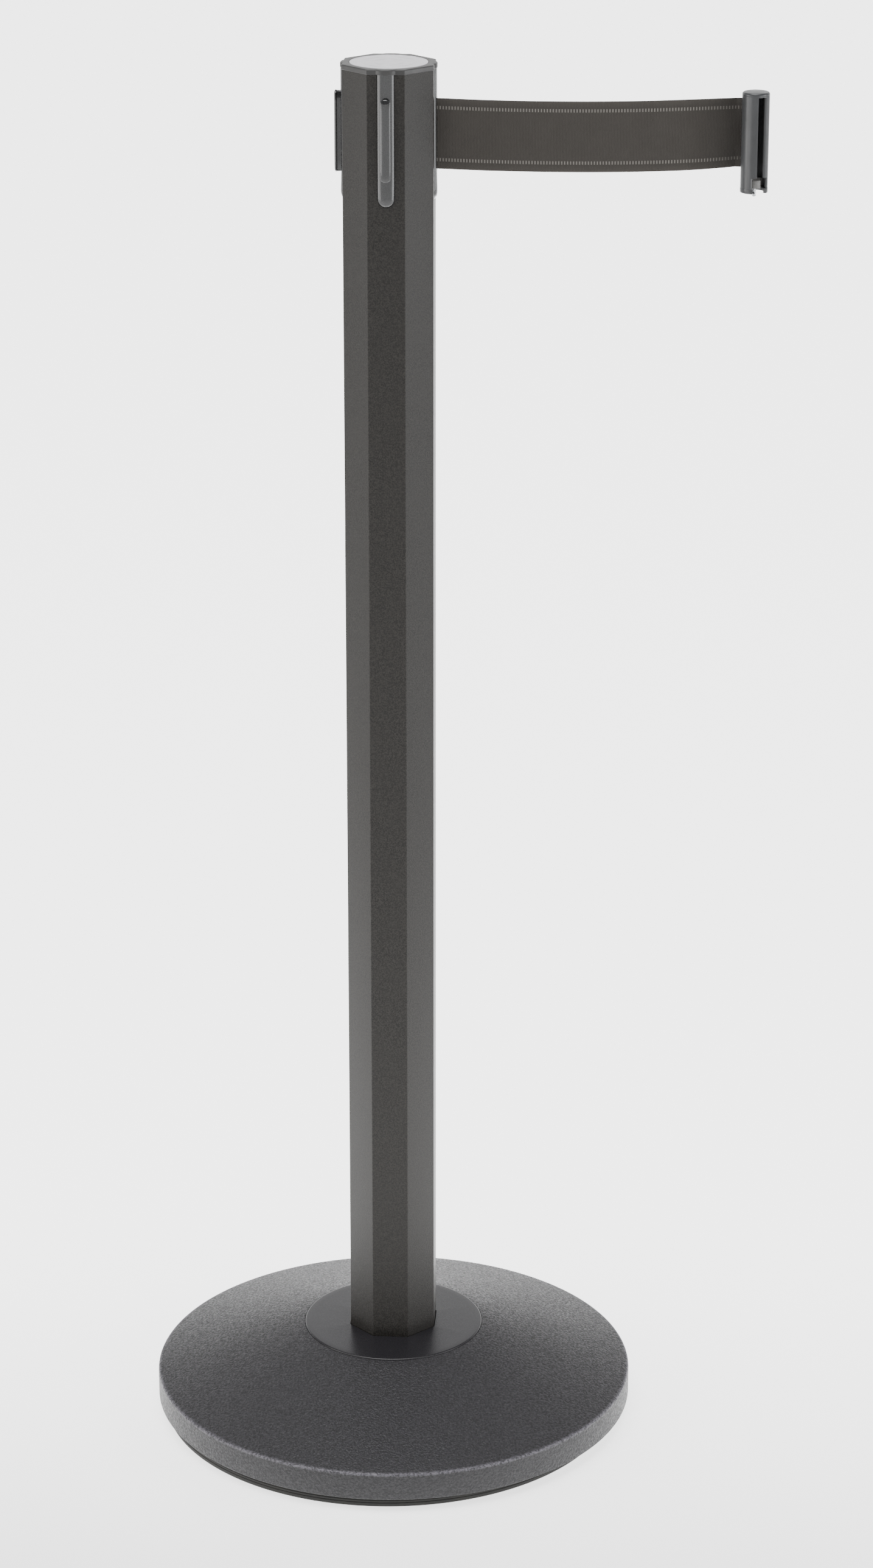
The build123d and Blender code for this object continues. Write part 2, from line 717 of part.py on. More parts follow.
FOOT_T = 1.3
CAP_T = 2.6
SLOT_W = 5.6
SLOT_TOP = 996.9
WINDOW_TOP = 941.9
WINDOW_HALF_DEG = 34.0
LEDGE_T = 2.0               # the ledge inside the foot carries the latch collar
LEDGE_R = 7.2
COLLAR_LOW = CLIP_BOTTOM + FOOT_T + LEDGE_T + 0.1
COLLAR_HIGH = 939.9
GROOVE_LOW = 936.4
PIN_LOW = 940.4
GROOVE_H = 1.4
GROOVE_R = 8.4
LOOP_HALF_DEG = 30.0
LOOP_LOW = belt_low - 0.6
LOOP_HIGH = SLOT_TOP
FOOT_GAP_DEG = 34.0
LEDGE_GAP_FROM = -96.0
COLLAR_BORE_R = 4.9
COLLAR_GAP_FROM = 9.0
COLLAR_GAP_TO = 97.0
THUMB_R = 1.3
THUMB_AT = 5.75
THUMB_DEG = -27.0
THUMB_BOTTOM = 928.8
THUMB_DEPTH = 3.0
SPRING_WIRE = 0.8
SPRING_RING_R = 7.9
shell_low = CLIP_BOTTOM + FOOT_T
shell_high = CLIP_TOP - CAP_T
thumb_x = THUMB_AT * cos(radians(THUMB_DEG))
thumb_y = THUMB_AT * sin(radians(THUMB_DEG))


def clip_plane(z):
    """Level plane at height z whose X runs from the clip's axis out through its slot."""
    return Plane(origin=(clip_x, clip_y, z), x_dir=slot_way, z_dir=(0, 0, 1))


def wedge(start_deg, end_deg, reach):
    """Sector from the clip's axis, as a filled face."""
    with BuildLine() as outline:
        first = (reach * cos(radians(start_deg)), reach * sin(radians(start_deg)))
        last = (reach * cos(radians(end_deg)), reach * sin(radians(end_deg)))
        middle_deg = (start_deg + end_deg) / 2
        middle = (reach * cos(radians(middle_deg)), reach * sin(radians(middle_deg)))
        Line((0, 0), first)
        ThreePointArc(first, middle, last)
        Line(last, (0, 0))
    make_face(outline.edges())


with BuildPart() as clip_shell:
    with BuildSketch(clip_plane(shell_low)):
        Circle(CLIP_R)
        Circle(CLIP_BORE_R, mode=Mode.SUBTRACT)
    extrude(amount=shell_high - shell_low)
    with BuildSketch(clip_plane(WINDOW_TOP - 1)):
        with Locations((CLIP_R, 0)):
            Rectangle(2 * CLIP_R, SLOT_W)
    extrude(amount=SLOT_TOP - WINDOW_TOP + 1, mode=Mode.SUBTRACT)
    with BuildSketch(clip_plane(shell_low)):
        wedge(-WINDOW_HALF_DEG, WINDOW_HALF_DEG, 2 * CLIP_R)
    extrude(amount=WINDOW_TOP - shell_low, mode=Mode.SUBTRACT)
    with BuildSketch(clip_plane(LOOP_LOW)):
        wedge(180 - LOOP_HALF_DEG, 180 + LOOP_HALF_DEG, 2 * CLIP_R)
    extrude(amount=LOOP_HIGH - LOOP_LOW, mode=Mode.SUBTRACT)
    with BuildSketch(clip_plane(GROOVE_LOW)):
        Circle(GROOVE_R)
    extrude(amount=GROOVE_H, mode=Mode.SUBTRACT)
    with BuildSketch(clip_plane(PIN_LOW)):
        with Locations((-PIN_REACH, 0)):
            Circle(PIN_R + 0.02)
    extrude(amount=shell_high - PIN_LOW, mode=Mode.SUBTRACT)
clip_shell.part.label = "clip_shell"
export_step(clip_shell.part, "parts/clip_shell.step")


with BuildPart() as clip_cap:
    with BuildSketch(clip_plane(shell_high)):
        Circle(CLIP_R)
    extrude(amount=CAP_T)
    fillet(clip_cap.edges().group_by(Axis.Z)[-1], 1.2)
    with BuildSketch(clip_plane(shell_high - 1.2)):
        Circle(CLIP_BORE_R - 0.1)
        with Locations((-PIN_REACH, 0)):
            Circle(PIN_R + 0.4, mode=Mode.SUBTRACT)
    extrude(amount=1.2)
clip_cap.part.label = "clip_cap"
export_step(clip_cap.part, "parts/clip_cap.step")


with BuildPart() as clip_foot:
    with BuildSketch(clip_plane(CLIP_BOTTOM)):
        Circle(CLIP_R + 0.1)
        Circle(CLIP_BORE_R - 0.2, mode=Mode.SUBTRACT)
    extrude(amount=FOOT_T)
    with BuildSketch(clip_plane(CLIP_BOTTOM)):
        wedge(-FOOT_GAP_DEG, FOOT_GAP_DEG, 2 * CLIP_R)
    extrude(amount=FOOT_T, mode=Mode.SUBTRACT)
    with BuildSketch(clip_plane(CLIP_BOTTOM + FOOT_T - 0.3)):
        Circle(LEDGE_R)
        Circle(COLLAR_BORE_R + 0.3, mode=Mode.SUBTRACT)
    extrude(amount=LEDGE_T + 0.3)
    with BuildSketch(clip_plane(CLIP_BOTTOM + FOOT_T - 0.3)):
        wedge(LEDGE_GAP_FROM, FOOT_GAP_DEG, 2 * CLIP_R)
    extrude(amount=LEDGE_T + 0.3, mode=Mode.SUBTRACT)
clip_foot.part.label = "clip_foot"
export_step(clip_foot.part, "parts/clip_foot.step")


with BuildPart() as swivel_pin:
    with BuildSketch(clip_plane(PIN_LOW)):
        with Locations((-PIN_REACH, 0)):
            Circle(PIN_R)
    extrude(amount=shell_high - PIN_LOW)
swivel_pin.part.label = "swivel_pin"
export_step(swivel_pin.part, "parts/swivel_pin.step")


with BuildPart() as latch_collar:
    with BuildSketch(clip_plane(COLLAR_LOW)):
        Circle(CLIP_BORE_R - 0.15)
        Circle(COLLAR_BORE_R, mode=Mode.SUBTRACT)
    extrude(amount=COLLAR_HIGH - COLLAR_LOW)
    with BuildSketch(clip_plane(COLLAR_LOW)):
        wedge(COLLAR_GAP_FROM, COLLAR_GAP_TO, 2 * CLIP_R)
    extrude(amount=COLLAR_HIGH - COLLAR_LOW, mode=Mode.SUBTRACT)
    with BuildSketch(clip_plane(COLLAR_LOW)):
        with Locations((thumb_x, thumb_y)):
            Circle(THUMB_R)
    extrude(amount=THUMB_DEPTH, mode=Mode.SUBTRACT)
latch_collar.part.label = "latch_collar"
export_step(latch_collar.part, "parts/latch_collar.step")


with BuildPart() as thumb_pin:
    with BuildSketch(clip_plane(THUMB_BOTTOM)):
        with Locations((thumb_x, thumb_y)):
            Circle(THUMB_R)
    extrude(amount=COLLAR_LOW + THUMB_DEPTH - THUMB_BOTTOM)
    fillet(thumb_pin.edges().group_by(Axis.Z)[0], 0.8)
thumb_pin.part.label = "thumb_pin"
export_step(thumb_pin.part, "parts/thumb_pin.step")


with BuildPart() as latch_spring:
    with BuildSketch(clip_plane(GROOVE_LOW + 0.3)):
        Circle(SPRING_RING_R + SPRING_WIRE / 2)
        Circle(SPRING_RING_R - SPRING_WIRE / 2, mode=Mode.SUBTRACT)
    extrude(amount=SPRING_WIRE)
    with BuildSketch(clip_plane(GROOVE_LOW)):
        wedge(-60, 60, 2 * CLIP_R)
    extrude(amount=GROOVE_H, mode=Mode.SUBTRACT)
latch_spring.part.label = "latch_spring"
export_step(latch_spring.part, "parts/latch_spring.step")
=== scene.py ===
import json
from math import acos, asin, atan2, cos, hypot, pi, radians, sin, tan

import bmesh
import bpy
import numpy as np
from mathutils import Euler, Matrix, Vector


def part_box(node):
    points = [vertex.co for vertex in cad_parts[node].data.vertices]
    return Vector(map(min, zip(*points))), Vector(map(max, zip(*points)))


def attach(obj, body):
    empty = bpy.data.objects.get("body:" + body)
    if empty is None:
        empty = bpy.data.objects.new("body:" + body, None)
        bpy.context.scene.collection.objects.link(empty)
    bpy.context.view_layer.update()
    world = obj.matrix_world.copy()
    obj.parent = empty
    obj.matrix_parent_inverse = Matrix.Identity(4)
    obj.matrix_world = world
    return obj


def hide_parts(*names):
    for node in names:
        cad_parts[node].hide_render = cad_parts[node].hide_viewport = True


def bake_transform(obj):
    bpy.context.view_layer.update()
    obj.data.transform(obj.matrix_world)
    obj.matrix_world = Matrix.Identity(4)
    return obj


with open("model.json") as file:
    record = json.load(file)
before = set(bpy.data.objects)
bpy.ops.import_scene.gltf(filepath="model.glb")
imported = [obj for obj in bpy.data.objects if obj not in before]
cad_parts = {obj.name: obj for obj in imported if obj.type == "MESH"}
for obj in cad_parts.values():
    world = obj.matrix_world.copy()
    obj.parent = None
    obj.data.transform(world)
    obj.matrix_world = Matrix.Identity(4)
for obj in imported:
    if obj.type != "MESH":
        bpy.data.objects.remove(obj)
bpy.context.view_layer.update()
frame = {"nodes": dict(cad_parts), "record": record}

bl_info = {
    "name": "Belt stanchion looks",
    "version": (1, 0, 0),
    "blender": (4, 5, 0),
    "location": "3D View > Sidebar > Stanchion",
    "description": "Visible pieces and finishes of a retractable belt stanchion, round its frame",
    "category": "Object",
}

MM = 0.001


# =====================================================================
# Places and sizes read from the frame
# =====================================================================

def span(node):
    """Lowest and highest corner of a frame node, as numpy points."""
    low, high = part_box(node)
    return np.array(low), np.array(high)


def middle(node):
    """Centre of a frame node's box."""
    low, high = span(node)
    return (low + high) / 2


def mount(name):
    """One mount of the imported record, by its name."""
    return next(m for m in frame["record"]["mounts"] if m["name"] == name)


def half_width(node):
    """Half of a frame node's width along X: the radius of a round one."""
    low, high = span(node)
    return (high[0] - low[0]) / 2


POST_LOW, POST_HIGH = span("post_tube")
BASE_LOW, BASE_HIGH = span("base_weight")
COLLAR_LOW, COLLAR_HIGH = span("hub_collar")
CAP_LOW, CAP_HIGH = span("cap")
DISC_LOW, DISC_HIGH = span("top_disc")
BELT_LOW, BELT_HIGH = span("belt_run")
ROLL_LOW, ROLL_HIGH = span("belt_roll")
CLIP_LOW, CLIP_HIGH = span("clip_shell")
CLIP_FOOT_LOW, CLIP_FOOT_HIGH = span("clip_foot")
LATCH_LOW, LATCH_HIGH = span("latch_collar")
THUMB_LOW, THUMB_HIGH = span("thumb_pin")
SWIVEL_LOW, SWIVEL_HIGH = span("swivel_pin")

HALF_POST = POST_HIGH[0]
CLIP_AXIS = middle("clip_cap")[:2]
CLIP_R = half_width("clip_cap")
SLOT_WAY = atan2(mount("clip_slot")["axis"][1], mount("clip_slot")["axis"][0])

BELT_MIDDLE = (BELT_LOW[2] + BELT_HIGH[2]) / 2
BELT_WIDTH = BELT_HIGH[2] - BELT_LOW[2]
BELT_HOLD = span("guide_pins")[1][0]      # where the belt leaves the guide pins
BELT_END = span("belt_loop")[0][0]        # where its sewn lap starts


# =====================================================================
# Settings: what a user would change
# =====================================================================

def length(name, description, default, least=0.0):
    """A size in metres, shown in the scene's own units."""
    return bpy.props.FloatProperty(
        name=name, description=description, default=default, min=least,
        subtype="DISTANCE", unit="LENGTH", precision=5,
    )


def colour(name, description, default):
    """A linear colour without alpha."""
    return bpy.props.FloatVectorProperty(
        name=name, description=description, default=default, size=3,
        min=0.0, max=1.0, subtype="COLOR",
    )


class StanchionPostSizes(bpy.types.PropertyGroup):
    wall: length("Wall", "Thickness of the post's tube", 1.6 * MM)
    corner: length("Corner radius", "Rounding of the post's eight long edges", 1.1 * MM)
    slot_half: length("Slot half width", "Half the width of the slots for the strips", 5.95 * MM)
    slot_centre: length("Slot end", "Height of the centre of each slot's round end", 927.75 * MM)


class StanchionBaseSizes(bpy.types.PropertyGroup):
    rim_top: length("Rim height", "Height of the rim's top edge", 30.9 * MM)
    rim_round: length("Rim rounding", "Radius of the rim's top edge", 1.9 * MM)
    rim_inner: length("Rim inner radius", "Inside of the rim, under the base", 147.0 * MM)
    casting: length("Casting", "Thickness of the casting under the cone", 9.0 * MM)
    boss: length("Boss radius", "Radius of the boss under the post", 34.0 * MM)
    boss_bottom: length("Boss bottom", "Height of the boss's lower face", 24.0 * MM)
    bore: length("Bore radius", "Radius of the hole for the base bolt", 6.5 * MM)
    ribs: bpy.props.IntProperty(
        name="Ribs", description="Number of ribs under the base", default=6, min=3, max=12)
    rib_width: length("Rib width", "Thickness of each rib", 8.0 * MM)


class StanchionHeadSizes(bpy.types.PropertyGroup):
    strip_half: length("Strip half width", "Half the width of each convex strip", 5.75 * MM)
    strip_proud: length("Strip height", "How far a strip's crest stands off the post", 1.9 * MM)
    strip_end: length("Strip end", "Height of the centre of each strip's round end", 927.75 * MM)
    rail_half: length("Rail half width", "Half the width of the rail's head", 3.65 * MM)
    rail_low: length("Rail bottom", "Height of the rail's lower end", 940.0 * MM)
    rail_high: length("Rail top", "Height of the rail's upper end", 996.5 * MM)
    rail_proud: length("Rail height", "How far the rail's head stands off the post", 6.5 * MM)
    web_share: bpy.props.FloatProperty(
        name="Web share", description="Width of the rail's web as a share of its head",
        default=0.44, min=0.1, max=0.9)
    outlet_half: length("Outlet half width", "Half the width of the slot for the belt", 1.2 * MM)
    swelling_half: length("Swelling", "Half the width of the cap's swellings", 6.7 * MM)


class StanchionBeltSizes(bpy.types.PropertyGroup):
    thick: length("Thickness", "Thickness of the webbing", 0.6 * MM)
    rib_pitch: length("Rib pitch", "Distance between the webbing's ribs", 1.015 * MM)
    rib_height: length("Rib height", "Height of each rib", 0.02 * MM)
    dash_pitch: length("Dash pitch", "Distance between the light dashes", 2.03 * MM)
    dash_height: length("Dash height", "Length of each dash across the belt", 2.4 * MM)
    dash_inset: length("Dash inset", "Distance of each row of dashes from its edge", 6.4 * MM)
    droop: length("Droop", "How far the belt dips near the post", 8.2 * MM)
    rise: length("Rise", "How far the belt then rises towards its clip", 11.1 * MM)
    cupping: length("Cupping", "How far the belt's edges curl back beside the clip", 1.6 * MM)


class StanchionClipSizes(bpy.types.PropertyGroup):
    bore: length("Bore radius", "Inside radius of the clip", 7.3 * MM)
    slot_half: length("Slot half width", "Half the width of the clip's slot", 2.3 * MM)
    lip: length("Lip", "Width of the chamfer along the slot", 1.0 * MM)
    slot_top: length("Slot top", "Height of the slot's upper end", 996.9 * MM)
    window_half: length("Window half width", "Half the width of the window", 5.26 * MM)
    window_top: length("Window top", "Height of the window's upper edge", 941.9 * MM)
    back_half: length("Back half width", "Half the width of the opening for the belt", 4.7 * MM)
    back_low: length("Back bottom", "Height of that opening's lower edge", 942.3 * MM)
    collar_bore: length("Collar bore", "Inside radius of the latch collar", 4.9 * MM)
    gap_from: bpy.props.FloatProperty(
        name="Gap start", description="Where the latch collar's gap starts, from the slot",
        default=radians(9), subtype="ANGLE", unit="ROTATION")
    gap_to: bpy.props.FloatProperty(
        name="Gap end", description="Where the latch collar's gap ends, from the slot",
        default=radians(97), subtype="ANGLE", unit="ROTATION")


class StanchionColours(bpy.types.PropertyGroup):
    post: colour("Post", "Fine powder coat on the post", (0.0188, 0.0174, 0.0155))
    base: colour("Base", "Coarse coat on the base's cone", (0.0150, 0.0142, 0.0164))
    collar: colour("Collar", "Smoother coat on the hub collar", (0.0142, 0.0134, 0.0156))
    moulding: colour("Mouldings", "Strips and receivers", (0.022, 0.0225, 0.023))
    cap: colour("Cap", "Cap on the post", (0.040, 0.0395, 0.039))
    clip: colour("Clip", "Clip at the belt's end", (0.042, 0.0435, 0.0455))
    latch: colour("Latch", "Latch collar in the clip", (0.15, 0.148, 0.142))
    disc: colour("Disc", "Round plate on the cap", (0.91, 0.895, 0.93))
    rubber: colour("Rubber", "Ring under the base", (0.012, 0.012, 0.011))
    webbing: colour("Webbing", "Belt", (0.0455, 0.0413, 0.0368))
    dashes: colour("Dashes", "Light threads in the belt", (0.19, 0.178, 0.162))


class StanchionSettings(bpy.types.PropertyGroup):
    post: bpy.props.PointerProperty(type=StanchionPostSizes, name="Post", description="Post tube")
    base: bpy.props.PointerProperty(type=StanchionBaseSizes, name="Base", description="Base")
    head: bpy.props.PointerProperty(type=StanchionHeadSizes, name="Head", description="Strips")
    belt: bpy.props.PointerProperty(type=StanchionBeltSizes, name="Belt", description="Webbing")
    clip: bpy.props.PointerProperty(type=StanchionClipSizes, name="Clip", description="Clip")
    colours: bpy.props.PointerProperty(
        type=StanchionColours, name="Colours", description="Colours of the finishes")


# =====================================================================
# Surfaces
# =====================================================================

def grid_faces(rows, columns, wrap_rows=False, wrap_columns=False):
    """Quads of a grid of points. A wrapped direction also joins its last line to its first."""
    row = np.arange(rows if wrap_rows else rows - 1)
    column = np.arange(columns if wrap_columns else columns - 1)
    r0, c0 = np.meshgrid(row, column, indexing="ij")
    r1 = (r0 + 1) % rows
    c1 = (c0 + 1) % columns
    corners = [r0 * columns + c0, r0 * columns + c1, r1 * columns + c1, r1 * columns + c0]
    return np.stack(corners, -1).reshape(-1, 4).tolist()


def grid_shape(points, wrap_rows=False, wrap_columns=False):
    """Points on a grid (rows, columns, 3) and the quads between them."""
    rows, columns = points.shape[:2]
    return points.reshape(-1, 3), grid_faces(rows, columns, wrap_rows, wrap_columns)


def joined(*shapes):
    """Several shapes as one list of points and one list of faces."""
    points = np.concatenate([s[0] for s in shapes])
    offsets = np.cumsum([0] + [len(s[0]) for s in shapes[:-1]])
    faces = [[i + int(o) for i in f] for s, o in zip(shapes, offsets) for f in s[1]]
    return points, faces


def rounded_outline(corners, radii, steps=6):
    """Closed outline with arcs for corners: each corner is cut back along both sides by its
    radius divided by the tangent of half its angle, and an arc about the centre on the
    corner's bisector joins the cuts. A radius of nought leaves the corner sharp."""
    corners = np.asarray(corners, float)
    pieces = []
    for i, corner in enumerate(corners):
        radius = radii[i]
        if radius <= 0:
            pieces.append(corner[None])
            continue
        before = corners[i - 1] - corner
        after = corners[(i + 1) % len(corners)] - corner
        before /= np.linalg.norm(before)
        after /= np.linalg.norm(after)
        half = acos(np.clip(before @ after, -1, 1)) / 2
        bisector = (before + after) / np.linalg.norm(before + after)
        centre = corner + bisector * radius / sin(half)
        first = corner + before * radius / tan(half) - centre
        last = corner + after * radius / tan(half) - centre
        turn = atan2(first[0] * last[1] - first[1] * last[0], first @ last)
        angle = np.linspace(0, turn, steps + 1)[:, None]
        side = np.array([-first[1], first[0]])
        pieces.append(centre + first * np.cos(angle) + side * np.sin(angle))
    return np.concatenate(pieces)


def arc(centre, wide, high, start, end, count):
    """Points of an ellipse's arc: the centre plus wide times the cosine and high times the
    sine, from one angle to another."""
    turn = np.linspace(start, end, count)
    return list(zip(centre[0] + wide * np.cos(turn), centre[1] + high * np.sin(turn)))


def eased(value, low, high):
    """Smooth change from nought at low to one at high: 3s^2 - 2s^3 of the share s between."""
    share = np.clip((value - low) / (high - low), 0, 1)
    return share * share * (3 - 2 * share)


def around(count):
    """Evenly spaced angles of a full turn."""
    return np.arange(count) * 2 * pi / count


def refined(outline, count=1, step=0.0):
    """Closed outline with extra points: count points to each side, or one to each step of its
    length where a step is given."""
    parts = []
    for start, end in zip(outline, np.roll(outline, -1, axis=0)):
        points = max(1, int(np.hypot(*(end - start)) / step)) if step else count
        share = np.linspace(0, 1, points, endpoint=False)[:, None]
        parts.append(start * (1 - share) + end * share)
    return np.concatenate(parts)


def polar_radius(outline, angle):
    """Distance from the origin to a star-shaped outline, at each angle."""
    own = np.arctan2(outline[:, 1], outline[:, 0])
    reach = np.hypot(outline[:, 0], outline[:, 1])
    order = np.argsort(own)
    return np.interp(angle, own[order], reach[order], period=2 * pi)


def octagon_radius(apothem, angle, corner=0.0):
    """Distance to a regular octagon with a flat side towards +X, its corners rounded."""
    tips = radians(22.5) + np.arange(8) * pi / 4
    points = np.stack([np.cos(tips), np.sin(tips)], -1) * apothem / cos(radians(22.5))
    outline = rounded_outline(points, [corner] * 8)
    return polar_radius(refined(outline, 24), angle)


def turned(profile, count, centre=(0.0, 0.0), closed=True):
    """Surface of revolution: each (radius, height) of the profile is carried round the axis
    through the centre. A closed profile makes a ring; an open one ends on the axis."""
    angle = around(count)
    radius, height = np.asarray(profile, float).T
    points = np.empty((len(radius), count, 3))
    points[..., 0] = centre[0] + radius[:, None] * np.cos(angle)
    points[..., 1] = centre[1] + radius[:, None] * np.sin(angle)
    points[..., 2] = height[:, None]
    return grid_shape(points, wrap_rows=closed, wrap_columns=True)


def shut_tube(points):
    """Closed sections, one to each row of points, joined along a path and shut at both ends."""
    rows, columns = points.shape[:2]
    flat, faces = grid_shape(points, wrap_columns=True)
    first = list(range(columns))
    last = [(rows - 1) * columns + i for i in first]
    return flat, faces + [first, last[::-1]]


def turned_part(profile, start, end, count):
    """Closed profile carried round the origin's axis from one angle to another, both ends shut."""
    angle = np.linspace(start, end, count)[:, None]
    radius, height = np.asarray(profile, float).T
    return shut_tube(np.stack(np.broadcast_arrays(
        radius * np.cos(angle), radius * np.sin(angle), height), -1))


def stacked(rings, angle, wrap=False):
    """Rings one above the other: each is (radius at every angle, height)."""
    points = np.empty((len(rings), len(angle), 3))
    for row, (radius, height) in enumerate(rings):
        points[row, :, 0] = radius * np.cos(angle)
        points[row, :, 1] = radius * np.sin(angle)
        points[row, :, 2] = height
    return grid_shape(points, wrap_rows=wrap, wrap_columns=True)


def ramped(height, steps):
    """Value at each height of a curve that holds a value between steps and changes smoothly
    over a short rise. Steps are (height where the change starts, rise, value after it)."""
    value = np.full_like(height, steps[0][2])
    for start, rise, after in steps[1:]:
        share = eased(height, start, start + rise)
        value = value * (1 - share) + after * share
    return value


FACINGS = {
    "front": ((0, -1), (1, 0)),
    "left": ((-1, 0), (0, -1)),
    "back": ((0, 1), (-1, 0)),
    "right": ((1, 0), (0, 1)),
}


def on_face(across, height, out, facing):
    """Points given across a face of the post, up it and out from it, as points in space."""
    normal, side = FACINGS[facing]
    reach = HALF_POST + out
    x = normal[0] * reach + side[0] * across
    y = normal[1] * reach + side[1] * across
    return np.stack([x, y, height + 0 * x], -1)


# =====================================================================
# Putting pieces in
# =====================================================================

def surface(name, shape, finish, marks=None):
    """Mesh object of a shape, with its doubles merged and its faces turned outwards."""
    points, faces = shape
    mesh = bpy.data.meshes.new(name)
    mesh.from_pydata(points.tolist(), [], faces)
    if marks is not None:
        layer = mesh.attributes.new("cloth", "FLOAT_VECTOR", "POINT")
        layer.data.foreach_set("vector", marks.astype(np.float32).ravel())
    work = bmesh.new()
    work.from_mesh(mesh)
    bmesh.ops.remove_doubles(work, verts=work.verts, dist=1e-6)
    bmesh.ops.recalc_face_normals(work, faces=work.faces)
    work.to_mesh(mesh)
    work.free()
    mesh.materials.append(finish)
    piece = bpy.data.objects.new(name, mesh)
    bpy.context.scene.collection.objects.link(piece)
    return piece


def put_in(name, shape, finish, body="root", stands_for=(), sharp=35.0, marks=None):
    """Makes a piece of a shape, shades it smooth with sharp edges past the given angle, and
    tells the frame the nodes that it replaces and the body that it rides."""
    piece = surface(name, shape, finish, marks)
    piece.data.shade_smooth()
    piece.data.set_sharp_from_angle(angle=radians(sharp))
    if stands_for:
        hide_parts(*stands_for)
    if body is not None:
        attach(piece, body)
    return piece


def bevel(piece, width, segments=2, angle=40.0):
    """Small rounding on a piece's sharp edges."""
    edge = piece.modifiers.new("edge rounding", "BEVEL")
    edge.width = width
    edge.segments = segments
    edge.limit_method = "ANGLE"
    edge.angle_limit = radians(angle)
    edge.harden_normals = True
    return piece


def paint(node, finish):
    """Gives a carried-over frame node its finish."""
    slots = frame["nodes"][node].data.materials
    slots.clear()
    slots.append(finish)


# =====================================================================
# Finishes
# =====================================================================

def shade(colour_value, factor):
    """A colour made lighter or darker."""
    return tuple(min(1.0, c * factor) for c in colour_value)


class Nodes:
    """Adds nodes to one shader tree; each method returns the output of what it adds."""

    def __init__(self, tree):
        self.tree = tree

    def node(self, kind, output, settings=(), **inputs):
        """Adds a node, sets it, joins or sets its inputs, and returns one of its outputs.
        An input is named, with _ for a space, or numbered, as in_0."""
        made = self.tree.nodes.new(kind)
        for key, value in dict(settings).items():
            setattr(made, key, value)
        for key, value in inputs.items():
            numbered = key.startswith("in_")
            socket = made.inputs[int(key[3:]) if numbered else key.replace("_", " ")]
            if isinstance(value, bpy.types.NodeSocket):
                self.tree.links.new(value, socket)
            else:
                socket.default_value = value
        return made.outputs[output]

    def math(self, operation, first, second=0.0, third=0.0):
        """One sum."""
        return self.node("ShaderNodeMath", "Value", {"operation": operation},
                         in_0=first, in_1=second, in_2=third)

    def along(self, axis, place):
        """One coordinate of a place."""
        return self.node("ShaderNodeSeparateXYZ", axis, Vector=place)

    def between(self, value, low, high, to_low=0.0, to_high=1.0):
        """Value mapped from one range to another, and held at its ends."""
        return self.node("ShaderNodeMapRange", "Result", {"clamp": True}, Value=value,
                         From_Min=low, From_Max=high, To_Min=to_low, To_Max=to_high)

    def smooth(self, value, low, high, to_low, to_high):
        """The same, with a smooth start and end."""
        return self.node("ShaderNodeMapRange", "Result", {"interpolation_type": "SMOOTHSTEP"},
                         Value=value, From_Min=low, From_Max=high, To_Min=to_low, To_Max=to_high)


class Finish(Nodes):
    """Builds one material out of nodes. Values that are the same all over go straight on the
    shader's own sockets."""

    def __init__(self, name, roughness, metallic=0.0, specular=0.5, coat=0.0, coat_rough=0.1,
                 sheen=0.0, sheen_rough=0.5):
        self.material = bpy.data.materials.new(name)
        self.material.use_nodes = True
        super().__init__(self.material.node_tree)
        self.shader = self.tree.nodes["Principled BSDF"]
        for socket, value in (
            ("Roughness", roughness), ("Metallic", metallic), ("Specular IOR Level", specular),
            ("Coat Weight", coat), ("Coat Roughness", coat_rough), ("Sheen Weight", sheen),
            ("Sheen Roughness", sheen_rough),
        ):
            self.shader.inputs[socket].default_value = value
        self.place = self.node("ShaderNodeTexCoord", "Object")

    def stretched(self, x=1.0, y=1.0, z=1.0):
        """Object coordinates scaled differently along each axis."""
        return self.node("ShaderNodeMapping", "Vector", Vector=self.place, Scale=(x, y, z))

    def grain(self, size, detail=2.0, rough=0.5, place=None, distortion=0.0):
        """Soft noise whose blobs are about the given size in metres."""
        return self.node("ShaderNodeTexNoise", "Fac", Vector=place or self.place,
                         Scale=1.0 / size, Detail=detail, Roughness=rough,
                         Distortion=distortion)

    def mixed(self, share, first, second):
        """Mix of two colours."""
        made = self.tree.nodes.new("ShaderNodeMix")
        made.data_type = "RGBA"
        for index, value in ((0, share), (6, first), (7, second)):
            if isinstance(value, bpy.types.NodeSocket):
                self.tree.links.new(value, made.inputs[index])
            elif index:
                made.inputs[index].default_value = (*value[:3], 1.0)
            else:
                made.inputs[index].default_value = value
        return made.outputs[2]

    def tinted(self, tint, value, low, high, dark, light):
        """The tint, darkened by one factor where the value is low, lightened by the other
        where it is high."""
        return self.mixed(self.between(value, low, high), shade(tint, dark), shade(tint, light))

    def over(self, ground, value, low, high, most, patch):
        """The ground, with up to the given share of a patch's colour where the value is high."""
        return self.mixed(self.between(value, low, high, 0.0, most), ground, patch)

    def bumps(self, *layers):
        """Bump made of (height, depth in metres, strength) layers, one on top of the other."""
        normal = None
        for height, depth, strength in layers:
            extra = {} if normal is None else {"Normal": normal}
            normal = self.node("ShaderNodeBump", "Normal", Height=height, Distance=depth,
                               Strength=strength, **extra)
        self.tree.links.new(normal, self.shader.inputs["Normal"])

    def colour(self, value):
        """Joins the base colour."""
        self.tree.links.new(value, self.shader.inputs["Base Color"])

    def rough(self, value):
        """Joins the roughness."""
        self.tree.links.new(value, self.shader.inputs["Roughness"])


